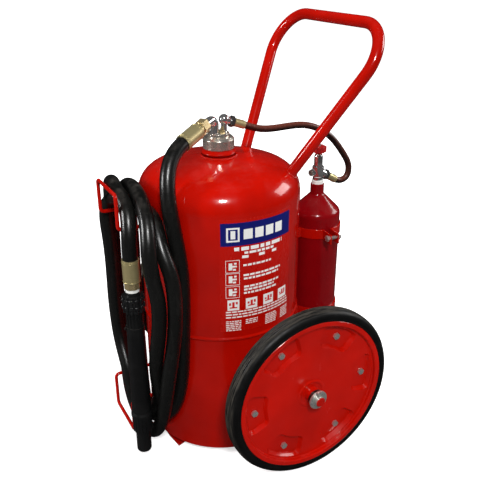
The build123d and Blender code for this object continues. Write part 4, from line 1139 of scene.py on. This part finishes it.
crimps = []
for along in FIRST_CRIMPS:
    centre = CORNER + DISCHARGE_DIR * along
    crimps.append(torus(centre, DISCHARGE_DIR, FERRULE_RIM_R, CRIMP_R))
for z in LAST_CRIMPS:
    crimps.append(torus(NOZZLE + np.array((0, 0, z)), (0, 0, 1), FERRULE_RIM_R, CRIMP_R))
rings = join(crimps)
piece = finish_piece("ferrule_crimps", rings[0], rings[1], MATERIALS["yellow_zinc"], "trolley")
crimps = []
for origin, direction, start in (
    (INLET_CORNER, INLET_DIR, INLET_FERRULE),
    (OUTLET_ORIGIN, OUTLET_DIR, OUTLET_FERRULE),
):
    for along in GAS_CRIMPS:
        centre = origin + direction * (start + along)
        crimps.append(torus(centre, direction, GAS_FERRULE_RIM_R, GAS_CRIMP_R, 64))
rings = join(crimps)
piece = finish_piece("gas_ferrule_crimps", rings[0], rings[1], MATERIALS["yellow_zinc"], "trolley")

# ---------------------------------------------------------------- grip bumps on the nozzle knob

PIP_ROWS = (0.4045, 0.4215)  # heights of the two rows
PIPS_PER_ROW = 12  # one on each upright rib of the knob
PIP_R, PIP_PROUD = 0.0052, 0.0024
PIP_SIDES = 14
PIP_SINK = 0.0006  # how far the foot of a bump goes into the knob
PIP_RINGS = ((0.0, 1.0), (0.45, 0.88), (0.8, 0.58), (0.97, 0.25))  # share of height, of radius


def pip(centre, outward, radius, proud):
    """Low dome of moulded plastic, closed at its foot."""
    outward = Vector(outward).normalized()
    across = outward.orthogonal().normalized()
    over = outward.cross(across)
    centre = Vector(centre)
    levels = [(-PIP_SINK, 1.0)] + [(proud * lift, spread) for lift, spread in PIP_RINGS]
    vertices = [centre - outward * PIP_SINK]
    for height, spread in levels:
        for turn in circle_turns(PIP_SIDES):
            ring = across * math.cos(turn) + over * math.sin(turn)
            vertices.append(centre + ring * radius * spread + outward * height)
    vertices.append(centre + outward * proud)
    top = len(vertices) - 1
    last = top - PIP_SIDES
    faces = []
    for k in range(PIP_SIDES):
        m = (k + 1) % PIP_SIDES
        faces.append((0, 1 + m, 1 + k))
        for row in range(len(levels) - 1):
            low = 1 + PIP_SIDES * row
            high = low + PIP_SIDES
            faces.append((low + k, low + m, high + m, high + k))
        faces.append((last + k, last + m, top))
    return vertices, faces, [(0.0, 0.0)] * len(vertices)


KNOB_SURFACE = surface_of("nozzle_knob")
pips = []
for z in PIP_ROWS:
    for turn in circle_turns(PIPS_PER_ROW):
        outward = Vector((math.cos(turn), math.sin(turn), 0.0))
        start = Vector((NOZZLE[0], NOZZLE[1], z)) + outward * 0.05
        hit = KNOB_SURFACE.ray_cast(start, -outward)[0]
        if hit is not None:
            pips.append(pip(hit, outward, PIP_R, PIP_PROUD))
dots = join(pips)
piece = finish_piece("nozzle_knob_bumps", dots[0], dots[1], MATERIALS["black_gloss"], "trolley")

# ---------------------------------------------------------------- painted axle ends

stubs = NODES["stub_axles"].data
stubs.materials.append(MATERIALS["red_paint"])
for polygon in stubs.polygons:
    if abs(polygon.center.x) > AXLE_END_X and polygon.area > 0:
        polygon.material_index = 1

# ---------------------------------------------------------------- softened edges

BEVEL_SEGMENTS = 2
BEVEL_ANGLE = math.radians(38)  # edges flatter than this stay as they are


def soften(names, width):
    """Small bevels on the sharp edges of CAD nodes, by modifier."""
    for name in names:
        node = NODES[name]
        mesh = node.data
        custom = mesh.attributes.get("custom_normal")
        if custom:
            mesh.attributes.remove(custom)
        mesh.polygons.foreach_set("use_smooth", [True] * len(mesh.polygons))
        weld_mod = node.modifiers.new("weld", "WELD")
        weld_mod.merge_threshold = 0.00001
        bevel = node.modifiers.new("bevel", "BEVEL")
        bevel.limit_method = "ANGLE"
        bevel.angle_limit = BEVEL_ANGLE
        bevel.width = width
        bevel.segments = BEVEL_SEGMENTS
        bevel.use_clamp_overlap = True
        bevel.harden_normals = True
        bevel.miter_outer = "MITER_ARC"


SMALL = [
    "cap_nut",
    "cap_plug",
    "discharge_nut",
    "hose_swivel_nut",
    "gas_hose_nuts",
    "relief_valve",
    "burst_disc_plug",
    "clamp_bolts",
    "clamp_nuts",
    "wheel_bolts_right",
    "wheel_bolts_left",
    "wheel_nuts_right",
    "wheel_nuts_left",
    "axle_washers",
    "valve_handwheel",
    "co2_valve_body",
]
LARGE = [
    "front_foot",
    "bottle_clamps",
    "bottle_saddles",
    "axle_brackets",
    "stub_axles",
    "neck_ring",
]
soften(SMALL, 0.0004)
soften(LARGE, 0.0007)

# ---------------------------------------------------------------- stage, light and camera


def plane(name, size, z, colour):
    """Studio floor: white to the camera, darker in reflections and in bounced light."""
    mesh = bpy.data.meshes.new(name)
    h = size / 2
    mesh.from_pydata([(-h, -h, z), (h, -h, z), (h, h, z), (-h, h, z)], [], [(0, 1, 2, 3)])
    s = Shader(name + "_finish")
    tone = s.mix(s.span(s.noise(1.5, 2.0), 0.3, 0.7), colour, tuple(c * 0.985 for c in colour))
    sight = s.add("ShaderNodeLightPath")
    tone = s.mix(sight.outputs["Is Camera Ray"], tuple(c * 0.45 for c in colour), tone)
    tone = s.mix(sight.outputs["Is Glossy Ray"], tone, tuple(c * 0.02 for c in colour))
    mesh.materials.append(s.done(tone, s.span(s.noise(6.0), 0.3, 0.7, 0.75, 0.85)))
    s.bsdf.inputs["Emission Color"].default_value = (1, 1, 1, 1)
    place = s.add("ShaderNodeNewGeometry")
    reach = s.add("ShaderNodeVectorMath")
    reach.operation = "LENGTH"
    s.link(place.outputs["Position"], reach.inputs[0])
    glow = s.span(reach.outputs["Value"], 0.8, 2.6, 0.62, 0.95)
    seen_glow = s.math("MULTIPLY", sight.outputs["Is Camera Ray"], glow)
    s.link(seen_glow, s.bsdf.inputs["Emission Strength"])
    floor = bpy.data.objects.new(name, mesh)
    bpy.context.scene.collection.objects.link(floor)


plane("floor", 40.0, 0.0, (0.86, 0.86, 0.86))


def softbox(name, location, target, size, power):
    """Rectangular lamp aimed at a target."""
    lamp = bpy.data.lights.new(name, "AREA")
    lamp.shape = "RECTANGLE"
    lamp.size, lamp.size_y = size
    lamp.energy = power
    holder = bpy.data.objects.new(name, lamp)
    bpy.context.scene.collection.objects.link(holder)
    holder.location = location
    aim = Vector(target) - Vector(location)
    holder.rotation_euler = aim.to_track_quat("-Z", "Y").to_euler()
    return holder


softbox("key", (2.4, -0.9, 2.7), (0, 0, 0.45), (0.45, 0.45), 82)
softbox("left", (-0.7, -3.0, 1.5), (0, 0, 0.45), (0.3, 0.9), 56)
softbox("top", (0.3, 0.4, 3.4), (0, 0, 0.3), (1.3, 1.3), 34).visible_glossy = False
softbox("back", (0.6, 2.8, 1.6), (0, 0, 0.5), (1.4, 1.0), 36)
softbox("far_side", (-2.7, 0.5, 1.9), (0, 0, 0.45), (1.0, 1.0), 48).visible_glossy = False

# The world is white to the camera, soft fill on the object and dark in reflections.
world = bpy.data.worlds.new("studio")
bpy.context.scene.world = world
world.use_nodes = True
tree = world.node_tree
tree.nodes.clear()
output = tree.nodes.new("ShaderNodeOutputWorld")
blend_node = tree.nodes.new("ShaderNodeMixShader")
path_node = tree.nodes.new("ShaderNodeLightPath")
seen = tree.nodes.new("ShaderNodeBackground")
seen.inputs[0].default_value = (1, 1, 1, 1)
seen.inputs[1].default_value = 1.0
felt = tree.nodes.new("ShaderNodeBackground")
felt.inputs[0].default_value = (1, 1, 1, 1)
strength = tree.nodes.new("ShaderNodeMapRange")
strength.inputs["To Min"].default_value = 0.27
strength.inputs["To Max"].default_value = 0.02
tree.links.new(path_node.outputs["Is Glossy Ray"], strength.inputs["Value"])
tree.links.new(strength.outputs["Result"], felt.inputs[1])
tree.links.new(path_node.outputs["Is Camera Ray"], blend_node.inputs[0])
tree.links.new(felt.outputs[0], blend_node.inputs[1])
tree.links.new(seen.outputs[0], blend_node.inputs[2])
tree.links.new(blend_node.outputs[0], output.inputs[0])

# Camera solved from the photograph.
CAM_PLACE = (1.23922, -0.61181, 1.08021)
CAM_AZIMUTH = math.radians(61.82)
CAM_ELEVATION = math.radians(23.97)
CAM_ROLL = math.radians(-0.12)
CAM_LENS, CAM_SENSOR = 49.12, 36.0  # millimetres
camera_data = bpy.data.cameras.new("camera")
camera_data.lens = CAM_LENS
camera_data.sensor_width = CAM_SENSOR
camera = bpy.data.objects.new("camera", camera_data)
bpy.context.scene.collection.objects.link(camera)
forward = Vector(
    (
        -math.sin(CAM_AZIMUTH) * math.cos(CAM_ELEVATION),
        math.cos(CAM_AZIMUTH) * math.cos(CAM_ELEVATION),
        -math.sin(CAM_ELEVATION),
    )
)
right = Vector((math.cos(CAM_AZIMUTH), math.sin(CAM_AZIMUTH), 0.0))
up = right.cross(forward)
turn = Matrix((right, up, -forward)).transposed() @ Matrix.Rotation(CAM_ROLL, 3, "Z")
camera.matrix_world = Matrix.Translation(CAM_PLACE) @ turn.to_4x4()
bpy.context.scene.camera = camera
bpy.context.scene.view_settings.view_transform = "Standard"
